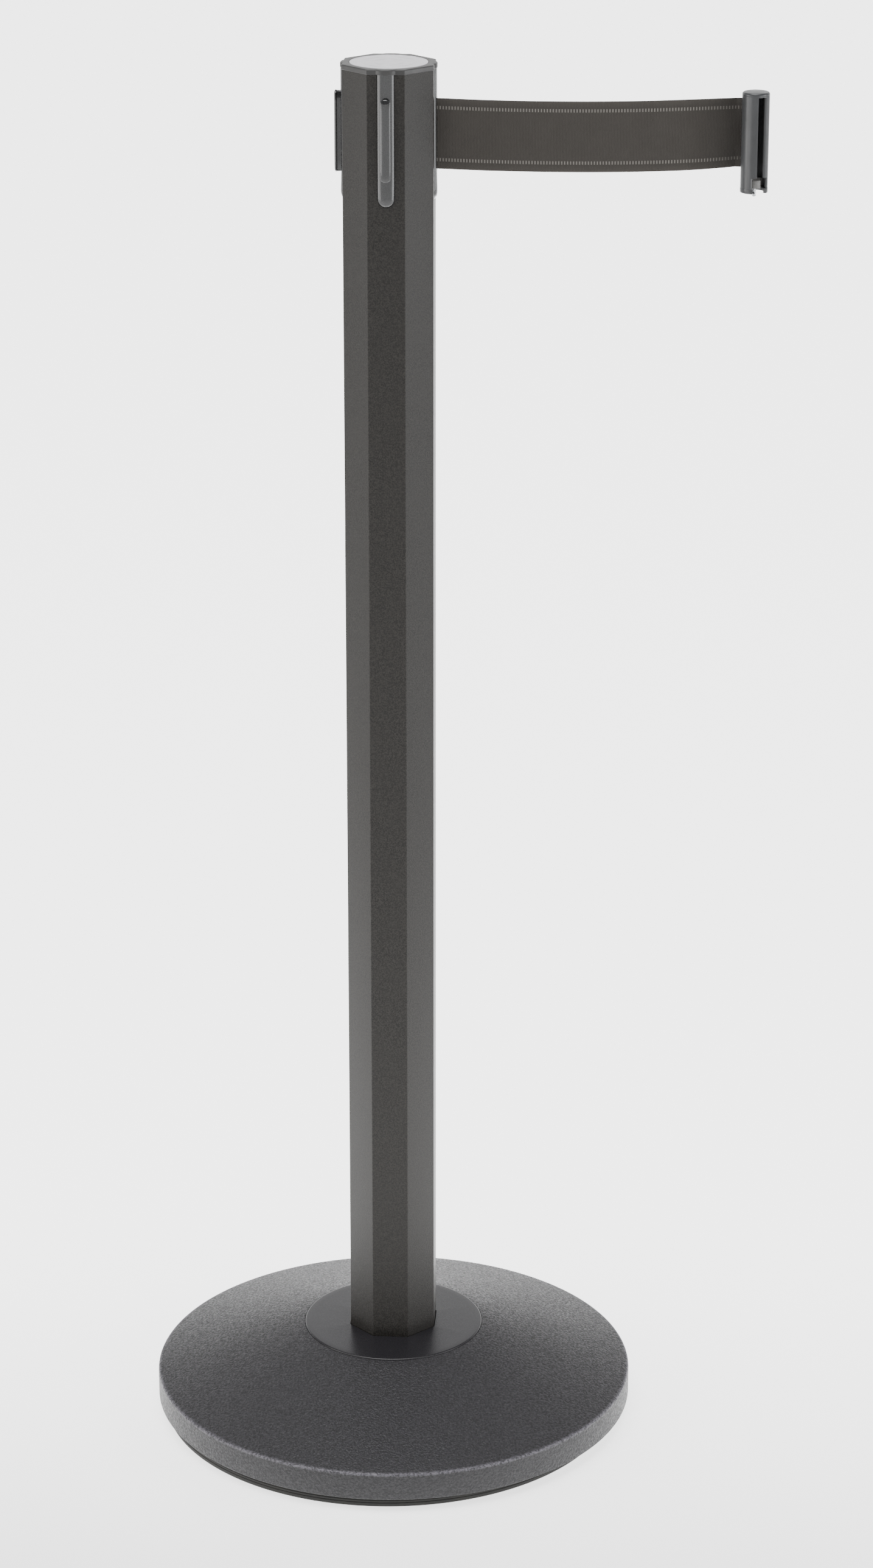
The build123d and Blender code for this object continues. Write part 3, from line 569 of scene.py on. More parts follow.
def post_coat(tint):
    """Fine-textured powder coat: a sand-like grain of under a millimetre, faint cloudy changes
    in tone, and a satin gloss broken up by the grain."""
    f = Finish("post_coat", 0.42, specular=0.34)
    fine = f.grain(0.75 * MM, detail=2.0, rough=0.6)
    cloud = f.grain(28 * MM, detail=3.0)
    tone = f.tinted(tint, fine, 0.38, 0.64, 0.5, 1.7)
    f.colour(f.over(tone, cloud, 0.3, 0.75, 0.35, shade(tint, 1.25)))
    f.rough(f.between(fine, 0.3, 0.7, 0.36, 0.5))
    f.bumps((cloud, 0.02 * MM, 0.3), (fine, 0.16 * MM, 0.6))
    return f.material


def base_coat(tint, edge_z):
    """Coarse coat: pebbles of about a millimetre and a half with a finer grain on them, paler
    and glossier on their tops, dark in the pits between, over broad faint clouds. The rim's
    wall is darker with painted shade, and its upper edge carries a painted highlight, pale on the
    pebbles' tops."""
    f = Finish("base_coat", 0.42, specular=0.42)
    pebbles = f.grain(1.55 * MM, detail=2.0, rough=0.6, distortion=0.4)
    fine = f.grain(0.6 * MM, detail=2.0)
    cloud = f.grain(60 * MM, detail=3.0)
    tone = f.tinted(tint, pebbles, 0.40, 0.62, 0.35, 1.75)
    tone = f.over(tone, fine, 0.55, 0.75, 0.6, shade(tint, 3.0))
    tone = f.over(tone, cloud, 0.3, 0.75, 0.3, shade(tint, 1.2))
    up = f.along("Z", f.place)
    # painted shade: the rim's wall below its top edge is darkened
    wall = f.between(up, edge_z - 2.4 * MM, edge_z - 1.2 * MM, 0.62, 0.0)
    # painted highlight: a pale band along the rim's rounded top edge, strongest on the pebbles'
    # tops
    painted_edge_highlight = f.math("MINIMUM", f.between(up, edge_z - 1.9 * MM, edge_z - 0.5 * MM),
                    f.between(up, edge_z + 0.1 * MM, edge_z + 0.8 * MM, 1.0, 0.0))
    painted_edge_highlight = f.math("MULTIPLY", painted_edge_highlight, f.between(pebbles, 0.36, 0.6, 0.15, 0.85))
    tone = f.mixed(wall, tone, shade(tint, 0.5))
    f.colour(f.mixed(painted_edge_highlight, tone, shade(tint, 9.0)))
    f.rough(f.between(pebbles, 0.38, 0.68, 0.58, 0.3))
    f.bumps((pebbles, 0.8 * MM, 0.75), (fine, 0.1 * MM, 0.5))
    return f.material


def collar_coat(tint):
    """Smoother satin coat with a faint orange peel, which mirrors the post softly."""
    f = Finish("collar_coat", 0.32, specular=0.4)
    peel = f.grain(1.1 * MM, detail=2.0)
    fine = f.grain(0.35 * MM, detail=2.0)
    f.colour(f.tinted(tint, fine, 0.35, 0.7, 0.85, 1.3))
    f.rough(f.between(peel, 0.3, 0.7, 0.26, 0.36))
    f.bumps((peel, 0.05 * MM, 0.5), (fine, 0.03 * MM, 0.4))
    return f.material


def gloss_moulding(tint):
    """Glossy injection moulding: faint flow marks along its height, fine scuffs in the gloss."""
    f = Finish("gloss_moulding", 0.18, specular=0.55, coat=1.0, coat_rough=0.08)
    flow = f.grain(5 * MM, detail=3.0, place=f.stretched(1, 1, 0.12))
    scuff = f.grain(0.7 * MM, detail=4.0, rough=0.7, place=f.stretched(1, 1, 0.25))
    f.colour(f.tinted(tint, flow, 0.3, 0.7, 0.85, 1.35))
    f.rough(f.between(scuff, 0.35, 0.75, 0.2, 0.34))
    f.bumps((flow, 0.02 * MM, 0.4), (scuff, 0.008 * MM, 0.4))
    return f.material


def cap_moulding(tint):
    """Satin moulding with a fine spark-eroded grain."""
    f = Finish("cap_moulding", 0.4, specular=0.5)
    grain = f.grain(0.4 * MM, detail=3.0, rough=0.6)
    patch = f.grain(9 * MM, detail=3.0)
    f.colour(f.tinted(tint, patch, 0.3, 0.7, 0.85, 1.3))
    f.rough(f.between(grain, 0.3, 0.7, 0.34, 0.48))
    f.bumps((grain, 0.03 * MM, 0.5))
    return f.material


def clip_moulding(tint):
    """Satin-gloss moulding with a fine grain, a little worn and smoother along its height."""
    f = Finish("clip_moulding", 0.3, specular=0.55)
    grain = f.grain(0.38 * MM, detail=3.0, rough=0.6)
    wear = f.grain(6 * MM, detail=4.0, place=f.stretched(1, 1, 0.3))
    f.colour(f.tinted(tint, wear, 0.35, 0.7, 0.9, 1.25))
    f.rough(f.between(wear, 0.35, 0.7, 0.34, 0.27))
    f.bumps((grain, 0.022 * MM, 0.5), (wear, 0.01 * MM, 0.3))
    return f.material


def latch_moulding(tint):
    """Grey nylon moulding, faintly mottled, with tooling lines."""
    f = Finish("latch_moulding", 0.45, specular=0.5)
    mottle = f.grain(1.4 * MM, detail=3.0)
    lines = f.grain(0.25 * MM, detail=2.0, place=f.stretched(0.1, 0.1, 1))
    f.colour(f.tinted(tint, mottle, 0.3, 0.7, 0.85, 1.12))
    f.rough(f.between(lines, 0.3, 0.7, 0.4, 0.52))
    f.bumps((lines, 0.012 * MM, 0.5))
    return f.material


def silver_disc(tint):
    """Pale satin plate with very fine turning marks and a few soft smudges."""
    f = Finish("silver_disc", 0.32, metallic=0.25, specular=0.5)
    x, y = f.along("X", f.place), f.along("Y", f.place)
    reach = f.math("SQRT", f.math("MULTIPLY_ADD", x, x, f.math("MULTIPLY", y, y)))
    rings = f.math("SINE", f.math("MULTIPLY", reach, 2 * pi / (0.42 * MM)))
    smudge = f.grain(7 * MM, detail=4.0, rough=0.6)
    speck = f.grain(0.8 * MM, detail=3.0)
    marked = f.between(smudge, 0.35, 0.7)
    tone = f.mixed(marked, shade(tint, 0.9), shade(tint, 1.04))
    f.colour(f.over(tone, speck, 0.55, 0.8, 0.25, shade(tint, 1.15)))
    f.rough(f.between(smudge, 0.3, 0.7, 0.28, 0.42))
    f.bumps((rings, 0.004 * MM, 0.5), (speck, 0.006 * MM, 0.4))
    return f.material


def ring_rubber(tint):
    """Matt moulded rubber, dusty in patches, with a fine pitted skin."""
    f = Finish("ring_rubber", 0.7, specular=0.35)
    dust = f.grain(18 * MM, detail=5.0, rough=0.65)
    pits = f.grain(0.6 * MM, detail=3.0)
    f.colour(f.over(tint, dust, 0.4, 0.75, 0.5, (0.045, 0.043, 0.038)))
    f.rough(f.between(dust, 0.3, 0.7, 0.62, 0.8))
    f.bumps((pits, 0.06 * MM, 0.5))
    return f.material


def webbing(s, tint, light, far_end):
    """Woven polyester belt. Ribs stand across it at an even pitch along X; each is made of
    small stitches, offset in turn. Two rows of light dashes run near the edges, one dash on
    every other rib. The edges are a little paler, and the stretch beside the clip is darkened
    with painted shade. Along the belt the pattern goes by Object X, so it keeps its pitch as the
    belt is drawn out; across it goes by the piece's own cloth coordinate, so it follows the droop."""
    f = Finish("webbing", 0.78, specular=0.2, sheen=0.1, sheen_rough=0.45)
    half = BELT_WIDTH / 2
    x = f.along("X", f.place)
    cloth = f.node("ShaderNodeAttribute", "Vector", {"attribute_name": "cloth"})
    across = f.along("Y", cloth)
    rib = f.math("SINE", f.math("MULTIPLY", x, 2 * pi / s.rib_pitch))
    column = f.math("FLOOR", f.math("DIVIDE", x, s.rib_pitch))
    offset = f.math("MULTIPLY", f.math("MODULO", column, 2.0), pi)
    stitch_pitch = 0.62 * MM
    stitch = f.math("SINE", f.math("MULTIPLY_ADD", across, 2 * pi / stitch_pitch, offset))
    raised = f.math("MULTIPLY_ADD", stitch, 0.35, rib)
    fuzz = f.grain(0.22 * MM, detail=3.0, rough=0.7)
    worn = f.grain(14 * MM, detail=4.0)
    # painted shade: the belt darkens over the last stretch before the clip
    painted_clip_shade = f.between(f.along("X", cloth), far_end - 34 * MM, far_end - 6 * MM, 0.0, 0.5)
    ground = f.tinted(tint, raised, -1.1, 1.1, 0.78, 1.18)
    ground = f.over(ground, fuzz, 0.4, 0.8, 0.4, shade(tint, 1.8))
    ground = f.over(ground, worn, 0.35, 0.75, 0.3, shade(tint, 1.35))
    off_centre = f.math("ABSOLUTE", across)
    edge = f.between(off_centre, half - 4.5 * MM, half - 0.5 * MM, 0.0, 0.4)
    ground = f.mixed(edge, ground, shade(tint, 1.7))
    from_row = f.math("ABSOLUTE", f.math("SUBTRACT", off_centre, half - s.dash_inset))
    row_half = s.dash_height / 2
    in_row = f.between(from_row, row_half - 0.25 * MM, row_half + 0.1 * MM, 1.0, 0.0)
    beat = f.math("SINE", f.math("MULTIPLY", x, 2 * pi / s.dash_pitch))
    on_beat = f.between(beat, -0.05, 0.45)
    dash = f.math("MULTIPLY", in_row, on_beat)
    pale = f.tinted(light, fuzz, 0.35, 0.75, 0.65, 1.25)
    f.colour(f.mixed(painted_clip_shade, f.mixed(dash, ground, pale), shade(tint, 0.4)))
    f.bumps((raised, 0.05 * MM, 0.3), (dash, 0.1 * MM, 0.35), (fuzz, 0.05 * MM, 0.6))
    return f.material


def thread(tint):
    """Twisted sewing thread."""
    f = Finish("sewing_thread", 0.6, specular=0.3, sheen=0.2)
    twist = f.grain(0.25 * MM, detail=2.0, place=f.stretched(1, 1, 3))
    f.colour(f.tinted(tint, twist, 0.35, 0.7, 0.6, 1.7))
    f.bumps((twist, 0.04 * MM, 0.6))
    return f.material


def drawn_metal(name, tint, roughness, streak, stretch, mottle=0.15):
    """Bare or plated metal: streaks along the way it was drawn or turned, and light mottling."""
    f = Finish(name, roughness, metallic=1.0, specular=0.5)
    lines = f.grain(streak, detail=3.0, rough=0.6, place=f.stretched(*stretch))
    cloud = f.grain(6 * MM, detail=4.0)
    tone = f.tinted(tint, lines, 0.3, 0.7, 0.85, 1.1)
    f.colour(f.over(tone, cloud, 0.3, 0.8, mottle, shade(tint, 0.6)))
    f.rough(f.between(lines, 0.3, 0.7, roughness * 0.8, roughness * 1.3))
    f.bumps((lines, 0.01 * MM, 0.5))
    return f.material


def inner_moulding():
    """Plain black moulding inside the post, with a soft grain and a bloom of mould release."""
    f = Finish("inner_moulding", 0.5, specular=0.4)
    grain = f.grain(0.5 * MM, detail=3.0)
    bloom = f.grain(12 * MM, detail=3.0)
    f.colour(f.mixed(f.between(bloom, 0.35, 0.75), (0.028, 0.028, 0.029), (0.05, 0.05, 0.052)))
    f.rough(f.between(grain, 0.3, 0.7, 0.44, 0.58))
    f.bumps((grain, 0.03 * MM, 0.5))
    return f.material


def floor_paper():
    """Pale seamless paper with a painted glow: it gives off light itself, rising towards the back
    and fading to the sides, so that it stays near white.
    """
    f = Finish("floor_paper", 0.9, specular=0.1)
    fibre = f.grain(0.9 * MM, detail=3.0)
    f.colour(f.mixed(f.between(fibre, 0.3, 0.7), (0.86, 0.86, 0.86), (0.88, 0.88, 0.88)))
    depth = f.along("Y", f.place)
    aside = f.math("ABSOLUTE", f.along("X", f.place))
    aside = f.math("MULTIPLY_ADD", depth, -0.3, aside)
    rising = f.smooth(depth, -0.9, 0.35, 0.0, 2.9)
    fading = f.smooth(aside, 0.4, 1.25, 1.0, 0.0)
    # painted light: the paper glows itself, brightest behind the post and fading to the sides
    painted_floor_glow = f.math("MULTIPLY", rising, fading)
    f.shader.inputs["Emission Color"].default_value = (1.0, 1.0, 1.0, 1.0)
    f.tree.links.new(painted_floor_glow, f.shader.inputs["Emission Strength"])
    return f.material


# =====================================================================
# Pieces
# =====================================================================

SEAT_GAP = 0.03 * MM      # between the collar's rim and its recess


def roof_height(s):
    """Height of the hollow's roof where it meets the rim: the cone less the casting."""
    seat = COLLAR_HIGH[0] + SEAT_GAP
    slope = (BASE_HIGH[2] - s.rim_top) / (BASE_HIGH[0] - seat)
    return s.rim_top + (BASE_HIGH[0] - s.rim_inner) * slope - s.casting


def casting_profile(s):
    """Section of the base: a rim, a cone up to the collar's recess, and a hollow underside
    whose roof keeps the casting's thickness below the cone."""
    rim, low, cone_top = BASE_HIGH[0], BASE_LOW[2], BASE_HIGH[2]
    seat, seat_z = COLLAR_HIGH[0] + SEAT_GAP, COLLAR_LOW[2]
    corners = [
        (s.bore, s.boss_bottom), (s.boss, s.boss_bottom), (s.boss, seat_z - s.casting),
        (s.rim_inner, roof_height(s)), (s.rim_inner, low), (rim, low), (rim, s.rim_top),
        (seat, cone_top), (seat, seat_z), (s.bore, seat_z),
    ]
    radii = [0, 1 * MM, 5 * MM, 4 * MM, 1 * MM, 0.8 * MM, s.rim_round, 0.5 * MM, 0.3 * MM, 0]
    return rounded_outline(corners, radii, steps=8)


def rib_shape(s, angle):
    """One rib under the base: a long wedge between boss and rim, carried across its width. Its
    ends and its top run a little way into the casting."""
    bite = 2 * MM
    inner, outer = s.boss - bite, s.rim_inner + bite
    outline = np.array([
        (inner, s.boss_bottom + bite), (outer, BASE_LOW[2] + 6 * MM),
        (outer, roof_height(s) + 3 * MM), (inner, COLLAR_LOW[2] - s.casting + 3 * MM),
    ])
    side = np.array([[-s.rib_width / 2], [s.rib_width / 2]])
    x = outline[:, 0] * cos(angle) - side * sin(angle)
    y = outline[:, 0] * sin(angle) + side * cos(angle)
    return shut_tube(np.stack(np.broadcast_arrays(x, y, outline[:, 1]), -1))


class STANCHION_OT_base(bpy.types.Operator):
    """Makes the cast base, its ribs, the hub collar and the rubber ring"""
    bl_idname = "stanchion.base"
    bl_label = "Base"

    def execute(self, context):
        s = context.scene.stanchion.base
        c = context.scene.stanchion.colours
        coat = base_coat(c.base, s.rim_top)
        casting = turned(refined(casting_profile(s), step=8 * MM), 288)
        ribs = [rib_shape(s, radians(30) + i * 2 * pi / s.ribs) for i in range(s.ribs)]
        put_in("base_casting", joined(casting, *ribs), coat,
               stands_for=["base_weight"], sharp=30)
        self.make_collar(c)
        self.make_ring(c)
        return {"FINISHED"}

    def make_collar(self, c):
        """Rings that change from the post's octagon to a circle, with a softly rounded rim."""
        angle = around(288)
        post_gap = 0.25 * MM
        inner = octagon_radius(HALF_POST + post_gap, angle, 1.2 * MM)
        outer = np.full_like(angle, COLLAR_HIGH[0])
        low, high = COLLAR_LOW[2], COLLAR_HIGH[2]
        round_wide, round_high = 1.2 * MM, 1.0 * MM
        edge = high - round_high
        rings = [(inner, low), (inner, high - 0.4 * MM), (inner + 0.3 * MM, high)]
        for share in np.linspace(0.1, 1, 8):
            radius = inner * (1 - share) + (outer - round_wide) * share
            rings.append((radius, high * (1 - share) + edge * share))
        for turn in np.linspace(0, pi / 2, 6)[1:]:
            radius = outer - round_wide * (1 - sin(turn))
            rings.append((radius, edge - round_high * (1 - cos(turn))))
        rings.append((outer, low))
        put_in("hub_collar_disc", stacked(rings, angle, wrap=True), collar_coat(c.collar),
               stands_for=["hub_collar"], sharp=40)

    def make_ring(self, c):
        """Rounded rectangle carried round, with three shallow grooves in its outer wall and
        five in the face that grips the floor."""
        outer = half_width("floor_ring")
        inner = outer - 20 * MM
        high = span("floor_ring")[1][2]
        groove_half, groove_deep = 0.35 * MM, 0.35 * MM
        wall = [(outer, 2.2 * MM)]
        groove_heights = (3.6 * MM, 5.6 * MM, 7.6 * MM)
        for z in groove_heights:
            wall += [(outer, z - groove_half), (outer - groove_deep, z), (outer, z + groove_half)]
        tread_half, tread_deep, tread_pitch = 0.5 * MM, 0.6 * MM, 3.4 * MM
        tread = []
        for r in inner + 3 * MM + tread_pitch * np.arange(5):
            tread += [(r - tread_half, 0), (r, tread_deep), (r + tread_half, 0)]
        corners = [(inner, high), (inner, 0.4 * MM), (inner + 0.4 * MM, 0), *tread,
                   (outer - 1.4 * MM, 0), (outer - 0.4 * MM, 0.5 * MM), *wall,
                   (outer, high - 0.9 * MM), (outer - 0.9 * MM, high)]
        put_in("rubber_ring", turned(corners, 240, middle("floor_ring")[:2]),
               ring_rubber(c.rubber), stands_for=["floor_ring"], sharp=40)


def quarter_path(apothem, corner, slot_half, arc_steps=6):
    """Points from the middle of one main face, round the slanting face, to the middle of the
    next, at every height: arrays (points, x and y, heights). The first and last points lie at
    the slot's edge, or on the middle where it has closed; the two corners are arcs."""
    tip = apothem * tan(radians(22.5))
    cut = corner * tan(radians(22.5))
    share = np.array([[0.0], [0.34], [0.67]])
    turn = np.linspace(0, radians(45), arc_steps + 1)[:, None]
    level = 0 * slot_half
    x = np.concatenate([apothem + share * level, apothem - corner + corner * np.cos(turn) + level])
    y = np.concatenate([
        slot_half + (tip - cut - slot_half) * share, tip - cut + corner * np.sin(turn) + level])
    half = np.stack([x, y], 1)
    return np.concatenate([half, half[::-1, ::-1]])


class STANCHION_OT_post(bpy.types.Operator):
    """Makes the octagonal tube, with its four slots"""
    bl_idname = "stanchion.post"
    bl_label = "Post"

    def execute(self, context):
        s = context.scene.stanchion.post
        c = context.scene.stanchion.colours
        low, high = POST_LOW[2], POST_HIGH[2]
        end = s.slot_centre - s.slot_half
        round_end = s.slot_centre - s.slot_half * np.cos(np.linspace(0, pi / 2, 15))
        height = np.concatenate([
            np.linspace(low, end, 24, endpoint=False), round_end,
            np.linspace(s.slot_centre, high, 6)[1:],
        ])
        rise = np.clip(s.slot_centre - height, 0, s.slot_half)
        open_half = np.sqrt(np.maximum(s.slot_half ** 2 - rise ** 2, 0))
        open_half[height <= end + 1e-9] = 0
        panels = []
        for quarter in range(4):
            panels.append(self.panel(s, height, open_half, quarter * pi / 2))
        put_in("post_octagon", joined(*panels), post_coat(c.post),
               stands_for=["post_tube"], sharp=30)
        return {"FINISHED"}

    def panel(self, s, height, open_half, turn):
        """A quarter of the tube: its outer and inner skins, the slot's walls where the slot is
        open, and the rims at top and bottom."""
        outer = quarter_path(HALF_POST, s.corner, open_half)
        inner = quarter_path(HALF_POST - s.wall, 0.4 * MM, open_half)
        columns = len(outer)
        rows = len(height)
        skins = []
        for path in (outer, inner):
            grid = np.empty((rows, columns, 3))
            x, y = path[:, 0].T, path[:, 1].T
            grid[..., 0] = x * cos(turn) - y * sin(turn)
            grid[..., 1] = x * sin(turn) + y * cos(turn)
            grid[..., 2] = height[:, None]
            skins.append(grid)
        points = np.concatenate([g.reshape(-1, 3) for g in skins])
        shift = rows * columns
        faces = grid_faces(rows, columns)
        faces += [[i + shift for i in f[::-1]] for f in grid_faces(rows, columns)]
        for row in range(rows - 1):
            if open_half[row + 1] > 0:
                for column, flip in ((0, 1), (columns - 1, -1)):
                    a = row * columns + column
                    b = a + columns
                    faces.append([a, b, b + shift, a + shift][::flip])
        for row, flip in ((0, 1), (rows - 1, -1)):
            for column in range(columns - 1):
                a = row * columns + column
                faces.append([a, a + shift, a + 1 + shift, a + 1][::flip])
        return points, faces


def strip_crest(across, height, s):
    """How far a strip stands off the post: full at its middle and falling to its edge as
    (1 - share^p)^(1/p), a slightly squared arc. Below the end's centre the distance is taken
    from that centre. The crest is a little higher below the rail."""
    power = 2.1
    more_below = 0.16
    drop = np.minimum(height - s.strip_end, 0)
    share = np.clip(np.hypot(across, drop) / s.strip_half, 0, 1)
    swell = 1 + more_below * np.clip((s.rail_low - height) / (12 * MM), 0, 1)
    return s.strip_proud * swell * (1 - share ** power) ** (1 / power)


def strip_shape(s, facing):
    """Strip without a slot: its half section is carried down one side, round the end and up
    the other side. The section is the crest, the side wall and the flat back."""
    top = POST_HIGH[2]
    side = np.linspace(top, s.strip_end, 14)
    turn = np.linspace(0, pi, 33)[1:-1]
    spine = np.concatenate([side, np.full(len(turn), s.strip_end), side[::-1]])
    way_u = np.concatenate([-np.ones(len(side)), -np.cos(turn), np.ones(len(side))])
    way_z = np.concatenate([0 * side, -np.sin(turn), 0 * side])
    share = np.sin(np.linspace(0, pi / 2, 15))
    across = way_u[:, None] * share * s.strip_half
    height = spine[:, None] + way_z[:, None] * share * s.strip_half
    out = strip_crest(across, height, s)
    back = np.full((len(spine), 1), -s.strip_proud)
    across = np.concatenate([across, across[:, -1:], 0 * back], 1)
    height = np.concatenate([height, height[:, -1:], spine[:, None]], 1)
    out = np.concatenate([out, back, back], 1)
    points, faces = grid_shape(on_face(across, height, out, facing))
    columns = across.shape[1]
    last = (len(spine) - 1) * columns
    cover = [last + i for i in range(columns)] + list(range(columns))[::-1]
    return points, faces + [cover]


def rail_shape(s, facing):
    """T-rail: a closed outline with straight sides and arched ends, drawn in towards its own
    middle line by each share of a profile that gives the crowned head, its rim, its back and
    the narrow web."""
    half, low, high = s.rail_half, s.rail_low, s.rail_high
    arch = 4.6 * MM
    rise = arch - (arch ** 2 - half ** 2) ** 0.5
    sweep = asin(half / arch)
    turn = np.linspace(-sweep, sweep, 17)
    side = np.linspace(low + rise, high - rise, 10)[1:-1]
    u = np.concatenate([arch * np.sin(turn), np.full(len(side), half),
                        -arch * np.sin(turn), np.full(len(side), -half)])
    z = np.concatenate([low + arch - arch * np.cos(turn), side,
                        high - arch + arch * np.cos(turn), side[::-1]])
    spine = np.clip(z, low + half, high - half)
    top = s.rail_proud
    rim = top - 0.8 * MM
    under = top - 1.8 * MM
    foot = 1.0 * MM
    web = s.web_share
    profile = [(t, top + (rim - top) * t * t) for t in np.linspace(0, 0.9, 9)]
    profile += [(0.955, rim - 0.06 * MM), (0.985, rim - 0.22 * MM), (1.0, rim - 0.45 * MM)]
    profile += [(1.0, under + 0.18 * MM), (0.97, under), (web + 0.08, under - 0.05 * MM)]
    profile += [(web, under - 0.3 * MM), (web, foot), (0, foot)]
    share, out = np.array(profile).T
    across = u[:, None] * share
    deep = out < under + 0.1 * MM
    reach = np.where(deep, 0.985, np.where(out > rim - 0.3 * MM, share, 1.0))
    shorter = np.where(deep, 0.2 * MM, 0.0) * np.sign(z - (low + high) / 2)[:, None]
    height = spine[:, None] + (z - spine)[:, None] * reach - shorter
    points = on_face(across, height, np.broadcast_to(out, across.shape), facing)
    return grid_shape(points, wrap_rows=True)


def outlet_shape(s, facing):
    """Strip with a slot for the belt: rings that change from the slot's outline to the strip's
    outline, raised by the same crest, with a rolled lip round the slot."""
    room = 1.7 * MM
    slot_low, slot_high = BELT_LOW[2] - room, BELT_HIGH[2] + room
    half = s.outlet_half
    top = POST_HIGH[2]
    turn = np.linspace(0, pi, 17)
    rows = np.linspace(0, 1, 16)[1:-1]
    in_low, in_high = slot_low + half, slot_high - half
    inner_u = np.concatenate([half * np.cos(turn), np.full(len(rows), -half),
                              -half * np.cos(turn), np.full(len(rows), half)])
    inner_z = np.concatenate([in_high + half * np.sin(turn), in_high + (in_low - in_high) * rows,
                              in_low - half * np.sin(turn), in_low + (in_high - in_low) * rows])
    wide = s.strip_half
    outer_u = np.concatenate([wide * np.cos(turn), np.full(len(rows), -wide),
                              -wide * np.cos(turn), np.full(len(rows), wide)])
    outer_z = np.concatenate([np.full(len(turn), top), top + (s.strip_end - top) * rows,
                              s.strip_end - wide * np.sin(turn),
                              s.strip_end + (top - s.strip_end) * rows])
    share = np.concatenate([[0, 0], 1 - np.cos(np.linspace(0, pi / 2, 15)), [1]])
    across = inner_u[:, None] * (1 - share) + outer_u[:, None] * share
    height = inner_z[:, None] * (1 - share) + outer_z[:, None] * share
    out = strip_crest(across, height, s)
    out[:, 0] = -s.strip_proud
    out[:, 1] -= 0.5 * MM
    out[:, -1] = -s.strip_proud
    points = on_face(across, height, out, facing)
    return grid_shape(points, wrap_rows=True, wrap_columns=True)


class STANCHION_OT_receivers(bpy.types.Operator):
    """Makes the three receivers, each a convex strip with a T-rail, and the belt's outlet"""
    bl_idname = "stanchion.receivers"
    bl_label = "Receivers and outlet"

    def execute(self, context):
        s = context.scene.stanchion.head
        finish = gloss_moulding(context.scene.stanchion.colours.moulding)
        for facing in ("front", "left", "back"):
            shape = joined(strip_shape(s, facing), rail_shape(s, facing))
            put_in(f"{facing}_strip_and_rail", shape, finish,
                   stands_for=[f"{facing}_receiver"], sharp=45)
        put_in("outlet_bezel", outlet_shape(s, "right"), finish,
               stands_for=["outlet_strip"], sharp=50)
        return {"FINISHED"}


class STANCHION_OT_cap(bpy.types.Operator):
    """Makes the post's cap and the round plate let into it"""
    bl_idname = "stanchion.cap"
    bl_label = "Cap and disc"

    def execute(self, context):
        c = context.scene.stanchion.colours
        self.make_cap(context.scene.stanchion.head, c)
        self.make_disc(c)
        return {"FINISHED"}

    def outline(self, s, angle):
        """Octagon whose four main sides swell over the strips. Across a side the swelling is
        (1 - share^3)^1.3, full at its middle and eased into the flat at both ends."""
        overhang = 0.3 * MM
        flat = HALF_POST + overhang
        octagon = octagon_radius(flat, angle, 0.9 * MM)
        off = (angle + pi / 4) % (pi / 2) - pi / 4
        across = flat * np.tan(off)
        share = np.clip(np.abs(across) / s.swelling_half, 0, 1)
        swelling = CAP_HIGH[0] - 0.35 * MM - flat
        return octagon + swelling * (1 - share ** 3) ** 1.3 / np.cos(off)

    def make_cap(self, s, c):
        """Rings from the skirt inside the post, out under the rim, up the rim, over its
        rounded edge and in to the recess for the disc."""
        angle = around(720)
        edge = self.outline(s, angle)
        low, high = POST_HIGH[2] + 0.02 * MM, CAP_HIGH[2]
        skirt, skirt_wall = 29.2 * MM, 2 * MM
        skirt_out = octagon_radius(skirt, angle, 1 * MM)
        skirt_in = octagon_radius(skirt - skirt_wall, angle, 1 * MM)
        centre = 0 * angle
        recess = centre + DISC_HIGH[0] + 0.25 * MM
        floor = DISC_LOW[2] - 0.02 * MM
        soft, chamfer = 0.95 * MM, 0.25 * MM
        rings = [(centre, POST_HIGH[2]), (skirt_in, POST_HIGH[2]), (skirt_in, CAP_LOW[2]),
                 (skirt_out, CAP_LOW[2]), (skirt_out, low), (edge - chamfer, low),
                 (edge, POST_HIGH[2] + 0.3 * MM), (edge, POST_HIGH[2] + 1.4 * MM)]
        for turn in np.linspace(0, pi / 2, 7):
            rings.append((edge - soft * (1 - cos(turn)), high - soft * (1 - sin(turn)) - 0.1 * MM))
        lip_wide, lip_high = 0.55 * MM, 0.35 * MM
        inner_edge = recess + lip_wide
        rings.append((edge * 0.35 + inner_edge * 0.65, high))
        for turn in np.linspace(0, pi / 2, 5):
            rings.append((inner_edge - lip_wide * sin(turn), high - lip_high * (1 - cos(turn))))
        rings += [(recess, floor), (centre, floor)]
        put_in("cap_cover", stacked(rings, angle), cap_moulding(c.cap),
               stands_for=["cap"], sharp=35)

    def make_disc(self, c):
        """Thin plate with a rolled edge and two fine raised rings about a plain centre."""
        r, low, high = DISC_HIGH[0], DISC_LOW[2], DISC_HIGH[2]
        face = high - 0.12 * MM
        profile = [(0, low), (r - 0.2 * MM, low), (r, low + 0.2 * MM), (r, face - 0.3 * MM)]
        profile += arc((r - 0.35 * MM, face - 0.15 * MM), 0.35 * MM, 0.27 * MM, 0, pi, 9)
        outer_ring, inner_ring = 18.5 * MM, 10.5 * MM
        for ring in (outer_ring, inner_ring):
            profile += arc((ring, face - 0.12 * MM), 0.32 * MM, 0.16 * MM, 0, pi, 9)
        profile += [(4 * MM, face - 0.11 * MM), (0, face - 0.1 * MM)]
        put_in("cap_disc", turned(profile, 180, closed=False), silver_disc(c.disc),
               stands_for=["top_disc"], sharp=50)


# =====================================================================
# Belt
# =====================================================================

